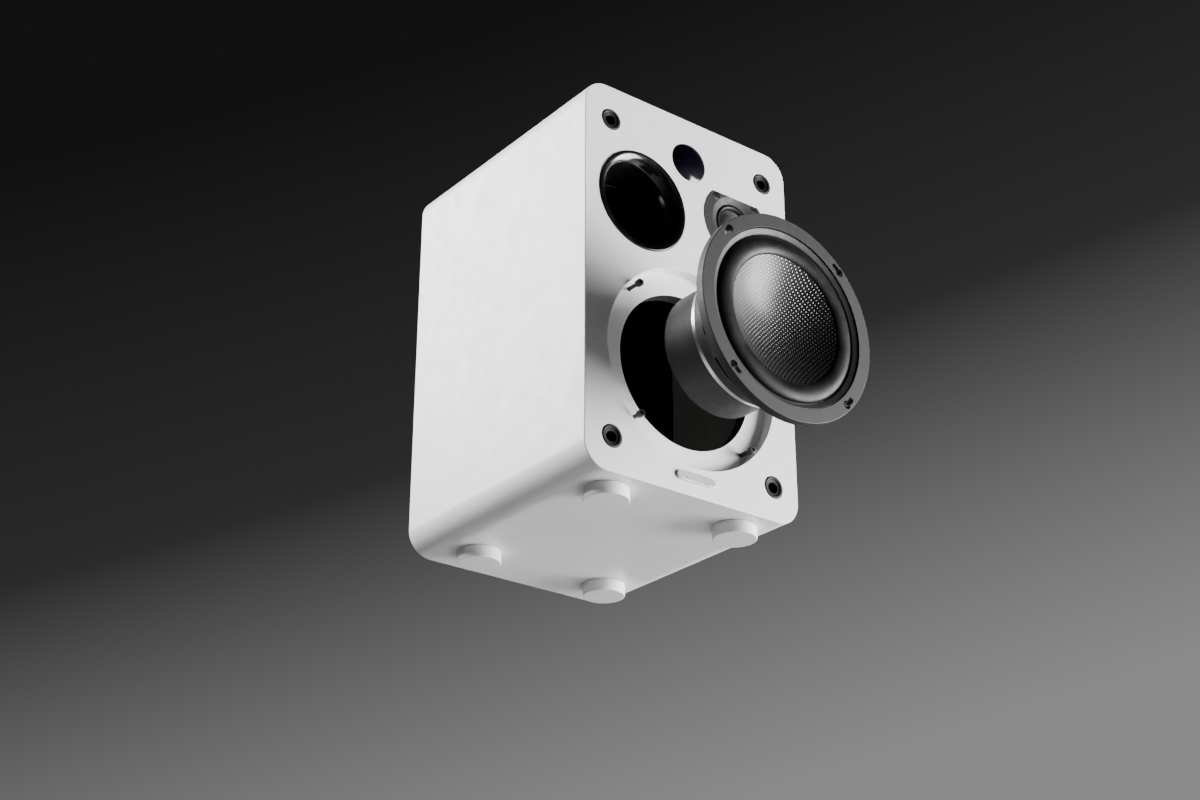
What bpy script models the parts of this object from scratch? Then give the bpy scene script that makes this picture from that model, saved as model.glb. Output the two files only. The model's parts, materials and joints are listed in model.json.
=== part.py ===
"""Bookshelf speaker with its woofer drawn out of the cabinet.

Metres, +Z up, +X to the viewer's right, the front faces -Y.
The origin is on the floor under the middle of the whole object's box.
"""
from math import asin, cos, pi, radians, sin, sqrt

import bmesh
import bpy
from mathutils import Matrix, Vector

MM = 0.001
GAP = 0.3 * MM  # kept between pieces that rest on or fit round each other

# ---- cabinet
CABINET_WIDTH = 185 * MM
CABINET_HEIGHT = 293 * MM
CABINET_DEPTH = 205 * MM
EDGE_RADIUS = 18.5 * MM  # the four long edges
FRONT_EDGE = 0.8 * MM
SIDE_WALL = 12 * MM
FRONT_WALL = 18 * MM
REAR_WALL = 12 * MM
BRACE_THICKNESS = 10 * MM
BRACE_RAIL = 18 * MM
BRACE_DEPTH = 120 * MM  # of its front face, behind the cabinet's front
WADDING_CLEARANCE = 1.3 * MM  # between the wadding and the port beside it
WADDING_SOFTNESS = 0.3125  # rounding of its edges, of its thickness

# ---- feet
FOOT_RADIUS = 15.5 * MM
FOOT_HEIGHT = 9 * MM
FOOT_SIDE_INSET = 37.1 * MM  # foot centre to the cabinet's side
FOOT_FRONT_INSET = 24.9 * MM
FOOT_REAR_INSET = 35.2 * MM
FOOT_EDGE = 1 * MM

# ---- grille sockets, in the corners of the front
SOCKET_RADIUS = 8 * MM
SOCKET_BORE = 3.6 * MM
SOCKET_DEPTH = 13 * MM
SOCKET_SIDE_INSET = 22.4 * MM
SOCKET_TOP_INSET = 26.9 * MM
SOCKET_BOTTOM_INSET = 25.2 * MM

# ---- reflex port
PORT_X = -42.4 * MM
PORT_Z = 210.8 * MM  # heights on the front are measured from the cabinet's bottom
PORT_LIP_RADIUS = 37.9 * MM
PORT_BORE = 25 * MM
PORT_WALL = 2.5 * MM
PORT_FLARE_DEPTH = 26 * MM
PORT_LIP_PROUD = 0.8 * MM
PORT_LIP_THICKNESS = 2.4 * MM
PORT_TUBE_LENGTH = 78 * MM

# ---- remote sensor window
LENS_Z = 257.6 * MM
LENS_RADIUS = 14.8 * MM
LENS_THICKNESS = 4 * MM
LENS_CROWN = 2.4 * MM
LENS_SHELF = 3.5 * MM

# ---- tweeter
TWEETER_X = 43.5 * MM
TWEETER_Z = 222 * MM
TWEETER_PLATE_RADIUS = 30 * MM
TWEETER_FLAT = 21.3 * MM  # plate centre to its flat top edge
TWEETER_PLATE_THICKNESS = 3 * MM
TWEETER_MOUTH = 22 * MM
TWEETER_THROAT = 16.9 * MM
TWEETER_DOME_RADIUS = 13.2 * MM
TWEETER_DOME_HEIGHT = 5.5 * MM
TWEETER_DOME_PROUD = 1 * MM
TWEETER_SCREW_CIRCLE = 25.3 * MM
TWEETER_BODY_RADIUS = 21 * MM
TWEETER_TRAVEL = 0.3 * MM

# ---- woofer, measured backwards from the front of its flange
WOOFER_Z = 94.4 * MM
WOOFER_OUT = 95.2 * MM  # how far it stands in front of its seat
FLANGE_RADIUS = 72.8 * MM
FLANGE_THICKNESS = 6.2 * MM
FLANGE_STEP_RADIUS = 63 * MM
FLANGE_STEP = 1 * MM
GASKET_THICKNESS = 1.5 * MM
GASKET_OUTER = 64.5 * MM
TRIM_INNER = 59.4 * MM
REBATE_CLEARANCE = 0.4 * MM
BASKET_FRONT_RADIUS = 55.5 * MM
BASKET_REAR_RADIUS = 49.6 * MM
BASKET_DEPTH = 36 * MM
BASKET_WALL = 2.2 * MM
BASKET_HOLE_CLEARANCE = 1.1 * MM
BASKET_FLOOR = 2.6 * MM
BASKET_FLOOR_HOLE = 30 * MM
SPIDER_LEDGE = 4 * MM
BASKET_LEGS = 6
BASKET_LEG_ANGLE = 28.2  # of the first leg
BASKET_WINDOW_SPAN = 41.5
BASKET_WINDOW_FRONT = 11 * MM
BASKET_WINDOW_REAR = 29 * MM
CONE_RADIUS = 44.8 * MM
CONE_DEPTH = 17 * MM
CONE_THICKNESS = 1 * MM
LIP_DEPTH = 4.1 * MM  # the surround's flat lips
SURROUND_OUTER = 62.4 * MM
SURROUND_INNER = 43 * MM
ROLL_OUTER = 57.3 * MM
ROLL_INNER = 45.3 * MM
ROLL_HEIGHT = 3.5 * MM
RUBBER = 0.6 * MM
SLOPE_GAP = 0.4 * MM  # keeps the common gap where the inner lip slopes along the cone's back
COIL_RADIUS = 16 * MM
COIL_LENGTH = 23 * MM
FORMER_WALL = 0.4 * MM
WINDING_WALL = 0.8 * MM
COIL_GAP = 0.8 * MM
CONE_TRAVEL = 4 * MM
MAGNET_PLATE_RADIUS = 48.5 * MM
MAGNET_PLATE_THICKNESS = 3.6 * MM
MAGNET_RADIUS = 42 * MM
MAGNET_THICKNESS = 15 * MM
BACK_PLATE_THICKNESS = 5 * MM
BUCKING_MAGNET_THICKNESS = 9 * MM
BOOT_WALL = 1.8 * MM
WOOFER_LENGTH = 73.4 * MM

# ---- woofer screws and the keyholes that drop over them
SCREW_CIRCLE = 68.6 * MM
SCREW_HEAD_RADIUS = 2.6 * MM
SCREW_HEAD_HEIGHT = 3.6 * MM
SCREW_SHANK_RADIUS = 1.5 * MM
SCREW_STANDS_OUT = 13 * MM
SCREW_GRIP = 8 * MM
KEYHOLE_CLEARANCE = 0.3 * MM
LOCK_TURN = 5  # degrees
SCREW_ANGLES = (45, 135, 225, 315)

# ---- blank nameplate
NAMEPLATE_WIDTH = 33 * MM
NAMEPLATE_HEIGHT = 6.4 * MM
NAMEPLATE_THICKNESS = 1.4 * MM
NAMEPLATE_Z = 12.9 * MM

# ---- amplifier plate and what it carries, on the back
PLATE_WIDTH = 140 * MM
PLATE_HEIGHT = 226 * MM
PLATE_THICKNESS = 2.5 * MM
PLATE_Z = 146 * MM
PLATE_LAP = 10 * MM
KNOB_ROW_Z = 228 * MM
KNOB_SPACING = 38 * MM
KNOB_RADIUS = 9 * MM
VOLUME_KNOB_RADIUS = 12 * MM
KNOB_LENGTH = 13 * MM
SHAFT_RADIUS = 3 * MM
SHAFT_CLEARANCE = 0.08 * MM
BUSHING_RADIUS = 4 * MM
JACK_Z = 190 * MM
JACK_SPACING = 16 * MM
JACK_RADIUS = 4.2 * MM
POST_Z = 150 * MM
POST_SPACING = 22 * MM
POST_CAP_RADIUS = 5.5 * MM
POST_CAP_LENGTH = 13 * MM
POST_COLLAR = 3.5 * MM
POST_STUD_RADIUS = 2 * MM
INLET_X = -32 * MM
SWITCH_X = 32 * MM
POWER_Z = 60 * MM
INLET_WIDTH = 28 * MM
INLET_HEIGHT = 17 * MM
INLET_DEPTH = 14 * MM
SWITCH_WIDTH = 15 * MM
SWITCH_HEIGHT = 21 * MM
ROCKER_SWING = 8  # degrees each side of level
FLANGED_RIM = 1.5 * MM

WIDE_ROUND = 48  # steps round the woofer's holes
ROUND = 36  # steps round the large turned pieces
MIDDLE_ROUND = 24
SMALL_ROUND = 16

FLOOR_Z = FOOT_HEIGHT  # the cabinet's bottom
REAR_PROUD = GAP + PLATE_THICKNESS + GAP + POST_COLLAR + GAP + POST_CAP_LENGTH
FRONT_Y = (WOOFER_OUT - CABINET_DEPTH - REAR_PROUD) / 2
CAVITY_WIDTH = CABINET_WIDTH - 2 * SIDE_WALL
CAVITY_HEIGHT = CABINET_HEIGHT - 2 * SIDE_WALL
CABINET_MIDDLE = FLOOR_Z + CABINET_HEIGHT / 2
REBATE_DEPTH = FLANGE_THICKNESS + GASKET_THICKNESS + 2 * GAP
REBATE_RADIUS = FLANGE_RADIUS + REBATE_CLEARANCE
WOOFER_HOLE = BASKET_FRONT_RADIUS + BASKET_HOLE_CLEARANCE
PLATE_BACK = CABINET_DEPTH + GAP  # depth of the amplifier plate's inner face
PLATE_FACE = PLATE_BACK + PLATE_THICKNESS


def clear_scene():
    for item in list(bpy.data.objects):
        bpy.data.objects.remove(item)


def new_collection(name):
    collection = bpy.data.collections.new(name)
    bpy.context.scene.collection.children.link(collection)
    return collection


def finish_material(name, colour, roughness, metallic=0.0):
    made = bpy.data.materials.get(name)
    if made:
        return made
    made = bpy.data.materials.new(name)
    made.use_nodes = True
    shader = made.node_tree.nodes["Principled BSDF"]
    shader.inputs["Base Color"].default_value = (*colour, 1)
    shader.inputs["Roughness"].default_value = roughness
    shader.inputs["Metallic"].default_value = metallic
    made.diffuse_color = (*colour, 1)
    return made


def white_lacquer():
    return finish_material("white lacquer", (0.72, 0.72, 0.73), 0.38)


def bare_board():
    return finish_material("fibreboard", (0.30, 0.21, 0.13), 0.85)


def black_gloss():
    return finish_material("black gloss plastic", (0.01, 0.01, 0.01), 0.08)


def black_matte():
    return finish_material("black matte plastic", (0.025, 0.025, 0.027), 0.55)


def dark_grey():
    return finish_material("dark grey paint", (0.06, 0.06, 0.065), 0.5)


def flange_grey():
    return finish_material("grey moulding", (0.13, 0.13, 0.135), 0.5)


def black_rubber():
    return finish_material("black rubber", (0.015, 0.015, 0.016), 0.6)


def woven_fibre():
    return finish_material("woven fibre", (0.09, 0.09, 0.095), 0.35, 0.4)


def silver():
    return finish_material("silver metal", (0.75, 0.75, 0.77), 0.2, 1.0)


def zinc_steel():
    return finish_material("zinc steel", (0.55, 0.55, 0.57), 0.3, 1.0)


def ferrite():
    return finish_material("ferrite", (0.04, 0.04, 0.045), 0.7)


def copper():
    return finish_material("copper winding", (0.6, 0.28, 0.12), 0.35, 0.9)


def circuit_board():
    return finish_material("circuit board", (0.02, 0.12, 0.05), 0.5)


def wadding():
    return finish_material("wadding", (0.55, 0.55, 0.52), 0.95)


def red_plastic():
    return finish_material("red plastic", (0.45, 0.02, 0.02), 0.35)


def violet_lens():
    return finish_material("violet lens", (0.008, 0.004, 0.014), 0.06)


def add_object(name, mesh, material=None, collection=None, location=(0, 0, 0), rotation=(0, 0, 0)):
    made = bpy.data.objects.new(name, mesh)
    (collection or parts).objects.link(made)
    made.location = location
    made.rotation_euler = rotation
    if material:
        mesh.materials.clear()
        mesh.materials.append(material)
    return made


def mesh_from(shape, name, smooth_angle=35):
    bmesh.ops.recalc_face_normals(shape, faces=shape.faces)
    mesh = bpy.data.meshes.new(name)
    shape.to_mesh(mesh)
    shape.free()
    mesh.shade_smooth()
    mesh.set_sharp_from_angle(angle=radians(smooth_angle))
    return mesh


def front_point(x, depth, z):
    """A point given by its depth behind the cabinet's front and its height above the cabinet's bottom."""
    return Vector((x, FRONT_Y + depth, FLOOR_Z + z))


def add_box(shape, low, high, bevel=0.0, segments=2):
    """Adds a box between two corners to a bmesh, with its edges rounded."""
    low, high = Vector(low), Vector(high)
    made = bmesh.ops.create_cube(shape, size=1)
    size = high - low
    bmesh.ops.scale(shape, vec=size, verts=made["verts"])
    bmesh.ops.translate(shape, vec=(low + high) / 2, verts=made["verts"])
    if bevel:
        edges = list({edge for vert in made["verts"] for edge in vert.link_edges})
        bmesh.ops.bevel(shape, geom=edges, offset=bevel, segments=segments, profile=0.5, affect="EDGES")


def add_rod(shape, radius, start, end, steps=SMALL_ROUND, end_radius=None):
    """Adds a capped cylinder or cone along Y, from one depth to another, to a bmesh."""
    start, end = Vector(start), Vector(end)
    along = end - start
    turn = along.to_track_quat("Z", "Y").to_matrix().to_4x4()
    bmesh.ops.create_cone(
        shape,
        cap_ends=True,
        segments=steps,
        radius1=radius,
        radius2=radius if end_radius is None else end_radius,
        depth=along.length,
        matrix=Matrix.Translation((start + end) / 2) @ turn,
    )


def box(name, low, high, material, bevel=0.0, segments=2, collection=None):
    shape = bmesh.new()
    add_box(shape, low, high, bevel, segments)
    return add_object(name, mesh_from(shape, name), material, collection)


def rod(name, radius, start, end, material, steps=SMALL_ROUND, collection=None):
    shape = bmesh.new()
    add_rod(shape, radius, start, end, steps)
    return add_object(name, mesh_from(shape, name), material, collection)


def rounded_block(name, width, height, radius, front, back, material, segments=8, collection=None):
    """A box whose four edges along Y are rounded. front and back are its end faces' middles."""
    shape = bmesh.new()
    bmesh.ops.create_cube(shape, size=1)
    bmesh.ops.scale(shape, vec=(width, back[1] - front[1], height), verts=shape.verts)
    long_edges = [
        edge
        for edge in shape.edges
        if abs((edge.verts[0].co - edge.verts[1].co).normalized().y) > 0.9
    ]
    bmesh.ops.bevel(shape, geom=long_edges, offset=radius, segments=segments, profile=0.5, affect="EDGES")
    bmesh.ops.translate(shape, vec=(Vector(front) + Vector(back)) / 2, verts=shape.verts)
    return add_object(name, mesh_from(shape, name), material, collection)


def turned(name, profile, material, centre, steps=ROUND, collection=None):
    """A piece turned about a Y axis through centre. profile holds (radius, depth) points, closed
    into a loop unless it starts and ends on the axis, and depth runs backwards from centre."""
    on_axis = [abs(point[0]) < 1e-9 for point in profile]
    count = len(profile)
    edges = [(i, i + 1) for i in range(count - 1)]
    if not (on_axis[0] and on_axis[-1]):
        edges.append((count - 1, 0))
    mesh = bpy.data.meshes.new(name)
    mesh.from_pydata([(radius, 0, -depth) for radius, depth in profile], edges, [])
    made = add_object(name, mesh, material, collection, centre, (pi / 2, 0, 0))
    screw = made.modifiers.new("turn", "SCREW")
    screw.axis = "Z"
    screw.angle = 2 * pi
    screw.steps = steps
    screw.render_steps = steps
    screw.use_merge_vertices = True
    screw.merge_threshold = 0.00002
    screw.use_smooth_shade = True
    return made


def baked(item):
    """Turns an object with modifiers into a plain mesh object in the same place."""
    bpy.context.view_layer.update()
    evaluated = item.evaluated_get(bpy.context.evaluated_depsgraph_get())
    mesh = bpy.data.meshes.new_from_object(evaluated)
    item.modifiers.clear()
    item.data = mesh
    return item


def copied(name, template, places):
    """Separate numbered copies of a turned template, which share its mesh. The template is removed."""
    baked(template)
    for number, place in enumerate(places, 1):
        copy = bpy.data.objects.new(f"{name}_{number}", template.data)
        parts.objects.link(copy)
        copy.location = place
        copy.rotation_euler = template.rotation_euler
    bpy.data.objects.remove(template)


def boolean(target, tool, operation="DIFFERENCE"):
    modifier = target.modifiers.new(tool.name, "BOOLEAN")
    modifier.operation = operation
    modifier.object = tool
    modifier.solver = "EXACT"
    tool.hide_render = True
    tool.display_type = "WIRE"


def cutter_rod(name, radius, start, end, steps=SMALL_ROUND):
    return rod(name, radius, start, end, None, steps, cutters)


def cutter_box(name, low, high):
    return box(name, low, high, None, collection=cutters)


def around(radius, angle, x=0.0, z=0.0):
    """A place on a circle on the front, as x and z."""
    return x + radius * cos(radians(angle)), z + radius * sin(radians(angle))


def ring_profile(inner, outer, front, back, edge=0.0):
    """A ring's section, with its outer corners chamfered."""
    return [
        (inner, front),
        (outer - edge, front),
        (outer, front + edge),
        (outer, back - edge),
        (outer - edge, back),
        (inner, back),
    ] if edge else [(inner, front), (outer, front), (outer, back), (inner, back)]


# ---------------------------------------------------------------- cabinet

def socket_places():
    top = CABINET_HEIGHT - SOCKET_TOP_INSET
    side = CABINET_WIDTH / 2 - SOCKET_SIDE_INSET
    return [(x, z) for x in (-side, side) for z in (SOCKET_BOTTOM_INSET, top)]


def foot_places():
    side = CABINET_WIDTH / 2 - FOOT_SIDE_INSET
    return {
        "foot_front_left": (-side, FRONT_Y + FOOT_FRONT_INSET),
        "foot_front_right": (side, FRONT_Y + FOOT_FRONT_INSET),
        "foot_rear_left": (-side, FRONT_Y + CABINET_DEPTH - FOOT_REAR_INSET),
        "foot_rear_right": (side, FRONT_Y + CABINET_DEPTH - FOOT_REAR_INSET),
    }


def tweeter_screw_places():
    return [around(TWEETER_SCREW_CIRCLE, angle, TWEETER_X, TWEETER_Z) for angle in SCREW_ANGLES]


def woofer_screw_places():
    return [around(SCREW_CIRCLE, angle, 0, WOOFER_Z) for angle in SCREW_ANGLES]


def flat_topped_disc(name, radius, flat, front, back, material, collection=None):
    """A disc on the front wall, cut straight across above its centre."""
    shape = bmesh.new()
    centre = front_point(TWEETER_X, 0, TWEETER_Z)
    add_rod(shape, radius, centre + Vector((0, front, 0)), centre + Vector((0, back, 0)), ROUND)
    plane = centre + Vector((0, 0, flat))
    found = bmesh.ops.bisect_plane(
        shape,
        geom=shape.verts[:] + shape.edges[:] + shape.faces[:],
        plane_co=plane,
        plane_no=(0, 0, 1),
        clear_outer=True,
    )
    edges = [item for item in found["geom_cut"] if isinstance(item, bmesh.types.BMEdge)]
    bmesh.ops.edgenet_fill(shape, edges=edges)
    return add_object(name, mesh_from(shape, name), material, collection)


def build_cabinet():
    middle = CABINET_HEIGHT / 2
    shell = rounded_block(
        "cabinet_shell", CABINET_WIDTH, CABINET_HEIGHT, EDGE_RADIUS,
        front_point(0, 0, middle), front_point(0, CABINET_DEPTH, middle), white_lacquer(), 7,
    )
    rim = shell.modifiers.new("front edge", "BEVEL")
    rim.width = FRONT_EDGE
    rim.segments = 2
    rim.limit_method = "ANGLE"
    rim.angle_limit = radians(60)
    cavity = rounded_block(
        "cavity", CAVITY_WIDTH, CAVITY_HEIGHT, EDGE_RADIUS - SIDE_WALL,
        front_point(0, FRONT_WALL, middle), front_point(0, CABINET_DEPTH + SIDE_WALL, middle),
        None, 4, cutters,
    )
    boolean(shell, cavity)
    through = FRONT_WALL + 2 * MM
    woofer = front_point(0, 0, WOOFER_Z)
    ahead = Vector((0, -5 * MM, 0))
    rebate_floor = woofer + Vector((0, REBATE_DEPTH, 0))
    boolean(shell, cutter_rod("rebate", REBATE_RADIUS, woofer + ahead, rebate_floor, WIDE_ROUND))
    baffle_back = Vector((0, through, 0))
    boolean(shell, cutter_rod("woofer_hole", WOOFER_HOLE, woofer, woofer + baffle_back, WIDE_ROUND))
    port = front_point(PORT_X, 0, PORT_Z)
    lip_seat = port + Vector((0, PORT_LIP_THICKNESS - PORT_LIP_PROUD + GAP, 0))
    boolean(shell, cutter_rod("port_lip_seat", PORT_LIP_RADIUS + GAP, port + ahead, lip_seat, ROUND))
    neck = port_neck_radius() + GAP
    boolean(shell, cutter_rod("port_hole", neck, port, port + baffle_back, ROUND))
    lens = front_point(0, 0, LENS_Z)
    lens_seat = Vector((0, LENS_THICKNESS + GAP, 0))
    boolean(shell, cutter_rod("lens_seat", LENS_RADIUS + GAP, lens + ahead, lens + lens_seat, MIDDLE_ROUND))
    lens_hole = LENS_RADIUS - LENS_SHELF
    boolean(shell, cutter_rod("lens_hole", lens_hole, lens, lens + baffle_back, MIDDLE_ROUND))
    seat = flat_topped_disc(
        "tweeter_seat", TWEETER_PLATE_RADIUS + GAP, TWEETER_FLAT + GAP,
        ahead.y, TWEETER_PLATE_THICKNESS + GAP, None, cutters,
    )
    boolean(shell, seat)
    tweeter = front_point(TWEETER_X, 0, TWEETER_Z)
    hole = TWEETER_BODY_RADIUS + 2 * GAP
    boolean(shell, cutter_rod("tweeter_hole", hole, tweeter, tweeter + baffle_back, ROUND))

    holes = bmesh.new()
    for x, z in socket_places():
        floor = front_point(x, SOCKET_DEPTH + GAP, z)
        add_rod(holes, SOCKET_RADIUS + GAP, front_point(x, -5 * MM, z), floor)
    for x, z in woofer_screw_places():
        start = front_point(x, REBATE_DEPTH - 1 * MM, z)
        add_rod(holes, SCREW_SHANK_RADIUS + GAP, start, front_point(x, through, z), 16)
    for x, z in tweeter_screw_places():
        start = front_point(x, TWEETER_PLATE_THICKNESS - 1 * MM, z)
        add_rod(holes, tweeter_screw_shank() + GAP, start, front_point(x, 14 * MM, z), 8)
    boolean(shell, add_object("small_holes", mesh_from(holes, "small_holes"), None, cutters))


def build_rear_panel():
    middle = CABINET_HEIGHT / 2
    front = CABINET_DEPTH - REAR_WALL
    panel = rounded_block(
        "rear_panel", CAVITY_WIDTH - 2 * GAP, CAVITY_HEIGHT - 2 * GAP, EDGE_RADIUS - SIDE_WALL - GAP,
        front_point(0, front, middle), front_point(0, CABINET_DEPTH, middle), white_lacquer(), 4,
    )
    half_width = PLATE_WIDTH / 2 - PLATE_LAP
    half_height = PLATE_HEIGHT / 2 - PLATE_LAP
    boolean(panel, cutter_box(
        "amplifier_opening",
        front_point(-half_width, front - 2 * MM, PLATE_Z - half_height),
        front_point(half_width, CABINET_DEPTH + 2 * MM, PLATE_Z + half_height),
    ))
    holes = bmesh.new()
    for x, z in plate_screw_places():
        start = front_point(x, front + 2 * MM, z)
        add_rod(holes, plate_screw_shank() + GAP, start, front_point(x, CABINET_DEPTH + 2 * MM, z), 8)
    boolean(panel, add_object("plate_screw_holes", mesh_from(holes, "plate_screw_holes"), None, cutters))


def build_brace_and_wadding():
    middle = CABINET_HEIGHT / 2
    radius = EDGE_RADIUS - SIDE_WALL - GAP
    brace = rounded_block(
        "inner_brace", CAVITY_WIDTH - 2 * GAP, CAVITY_HEIGHT - 2 * GAP, radius,
        front_point(0, BRACE_DEPTH, middle), front_point(0, BRACE_DEPTH + BRACE_THICKNESS, middle),
        bare_board(), 3,
    )
    half_width = CAVITY_WIDTH / 2 - BRACE_RAIL
    half_height = CAVITY_HEIGHT / 2 - BRACE_RAIL
    boolean(brace, cutter_box(
        "brace_window",
        front_point(-half_width, BRACE_DEPTH - 2 * MM, middle - half_height),
        front_point(half_width, BRACE_DEPTH + BRACE_THICKNESS + 2 * MM, middle + half_height),
    ))
    wall = CAVITY_WIDTH / 2 - GAP
    thickness = wall - abs(PORT_X) - port_collar_radius() - WADDING_CLEARANCE
    for side, name in ((-1, "wadding_left"), (1, "wadding_right")):
        near, far = sorted((side * (wall - thickness), side * wall))
        box(
            name,
            front_point(near, FRONT_WALL + 8 * MM, SIDE_WALL + 25 * MM),
            front_point(far, BRACE_DEPTH - 4 * MM, CABINET_HEIGHT - SIDE_WALL - 12 * MM),
            wadding(), thickness * WADDING_SOFTNESS,
        )


def build_feet():
    top = FOOT_HEIGHT - GAP
    for name, (x, y) in foot_places().items():
        profile = [
            (0, top),
            (FOOT_RADIUS, top),
            (FOOT_RADIUS, FOOT_EDGE),
            (FOOT_RADIUS - FOOT_EDGE * 0.3, FOOT_EDGE * 0.3),
            (FOOT_RADIUS - FOOT_EDGE, 0),
            (0, 0),
        ]
        foot = turned(name, [(r, -z) for r, z in profile], white_lacquer(), (x, y, 0), MIDDLE_ROUND)
        foot.rotation_euler = (0, 0, 0)


def build_sockets():
    lip = 1.2 * MM
    profile = [
        (0, SOCKET_DEPTH),
        (0, SOCKET_DEPTH - 1.5 * MM),
        (SOCKET_BORE, SOCKET_DEPTH - 1.5 * MM),
        (SOCKET_BORE, 1.6 * MM),
        (SOCKET_BORE + 0.8 * MM, 0.8 * MM),
        (SOCKET_RADIUS - 2 * MM, 0.8 * MM),
        (SOCKET_RADIUS - lip, -0.3 * MM),
        (SOCKET_RADIUS, 0),
        (SOCKET_RADIUS, SOCKET_DEPTH),
    ]
    template = turned("socket", profile, black_rubber(), (0, 0, 0), SMALL_ROUND)
    places = [front_point(x, 0, z) for x, z in socket_places()]
    copied("grille_socket", template, places)


def port_neck_radius():
    return PORT_LIP_RADIUS - 4.5 * MM


def port_collar_radius():
    """Outside of the collar that the tube is pushed into."""
    return PORT_BORE + PORT_WALL + 1 * MM


def build_port():
    port = front_point(PORT_X, 0, PORT_Z)
    mouth = PORT_LIP_RADIUS - 1.2 * MM
    steps = 6
    inner = []
    for i in range(steps + 1):
        turn = pi / 2 * i / steps
        radius = PORT_BORE + (mouth - PORT_BORE) * (1 - cos(turn))
        depth = PORT_FLARE_DEPTH - (PORT_FLARE_DEPTH + PORT_LIP_PROUD) * sin(turn)
        inner.append((radius, depth))
    outer_back = PORT_FLARE_DEPTH + 4 * MM
    neck = port_collar_radius()
    lip_back = PORT_LIP_THICKNESS - PORT_LIP_PROUD
    profile = inner + [
        (PORT_LIP_RADIUS, -PORT_LIP_PROUD + 0.6 * MM),
        (PORT_LIP_RADIUS, lip_back),
        (port_neck_radius(), lip_back),
        (port_neck_radius(), 12 * MM),
        (neck, 22 * MM),
        (neck, outer_back),
        (PORT_BORE, outer_back),
    ]
    turned("port_flare", profile, black_gloss(), port, ROUND)
    start = outer_back + GAP
    tube = ring_profile(PORT_BORE, PORT_BORE + PORT_WALL, start, start + PORT_TUBE_LENGTH)
    turned("port_tube", tube, black_matte(), port, MIDDLE_ROUND)


def build_sensor():
    lens = front_point(0, 0, LENS_Z)
    edge = 0.2 * MM
    sphere = (LENS_RADIUS**2 + LENS_CROWN**2) / (2 * LENS_CROWN)
    steps = 4
    dome = []
    for i in range(steps + 1):
        radius = LENS_RADIUS * i / steps
        dome.append((radius, edge + sphere - LENS_CROWN - sqrt(sphere**2 - radius**2)))
    profile = dome + [(LENS_RADIUS, LENS_THICKNESS), (0, LENS_THICKNESS)]
    turned("sensor_lens", profile, violet_lens(), lens, MIDDLE_ROUND)
    shape = bmesh.new()
    board = FRONT_WALL + 4 * MM
    low = front_point(-15 * MM, board, LENS_Z - 12 * MM)
    add_box(shape, low, front_point(15 * MM, board + 1.6 * MM, LENS_Z + 12 * MM))
    made = add_object("sensor_board", mesh_from(shape, "sensor_board"), circuit_board())
    parts_on = bmesh.new()
    sunk = board + 0.5 * MM
    low = front_point(-8 * MM, board - 5 * MM, LENS_Z - 4 * MM)
    add_box(parts_on, low, front_point(-1 * MM, sunk, LENS_Z + 4 * MM))
    lamp = front_point(5 * MM, board - 8 * MM, LENS_Z)
    add_rod(parts_on, 2.5 * MM, lamp, front_point(5 * MM, sunk, LENS_Z), 12)
    boolean(made, add_object("sensor_parts", mesh_from(parts_on, "sensor_parts"), None, cutters), "UNION")


def build_nameplate():
    shape_front = front_point(0, -GAP - NAMEPLATE_THICKNESS, NAMEPLATE_Z)
    rounded_block(
        "nameplate", NAMEPLATE_WIDTH, NAMEPLATE_HEIGHT, NAMEPLATE_HEIGHT / 2 - 0.2 * MM,
        shape_front, front_point(0, -GAP, NAMEPLATE_Z), silver(), 6,
    )


# ---------------------------------------------------------------- tweeter

def tweeter_screw_shank():
    return 1.4 * MM


def dome_profile(radius, height, crown, thickness, steps=4):
    """A thin spherical cap that bulges forwards from depth crown + height to crown."""
    sphere = (radius**2 + height**2) / (2 * height)
    outer = []
    inner = []
    reach = asin(radius / sphere)
    for i in range(steps + 1):
        turn = reach * i / steps
        outer.append((sphere * sin(turn), crown + sphere * (1 - cos(turn))))
        inner.append(((sphere - thickness) * sin(turn), crown + sphere - (sphere - thickness) * cos(turn)))
    return outer + inner[::-1]


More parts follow.
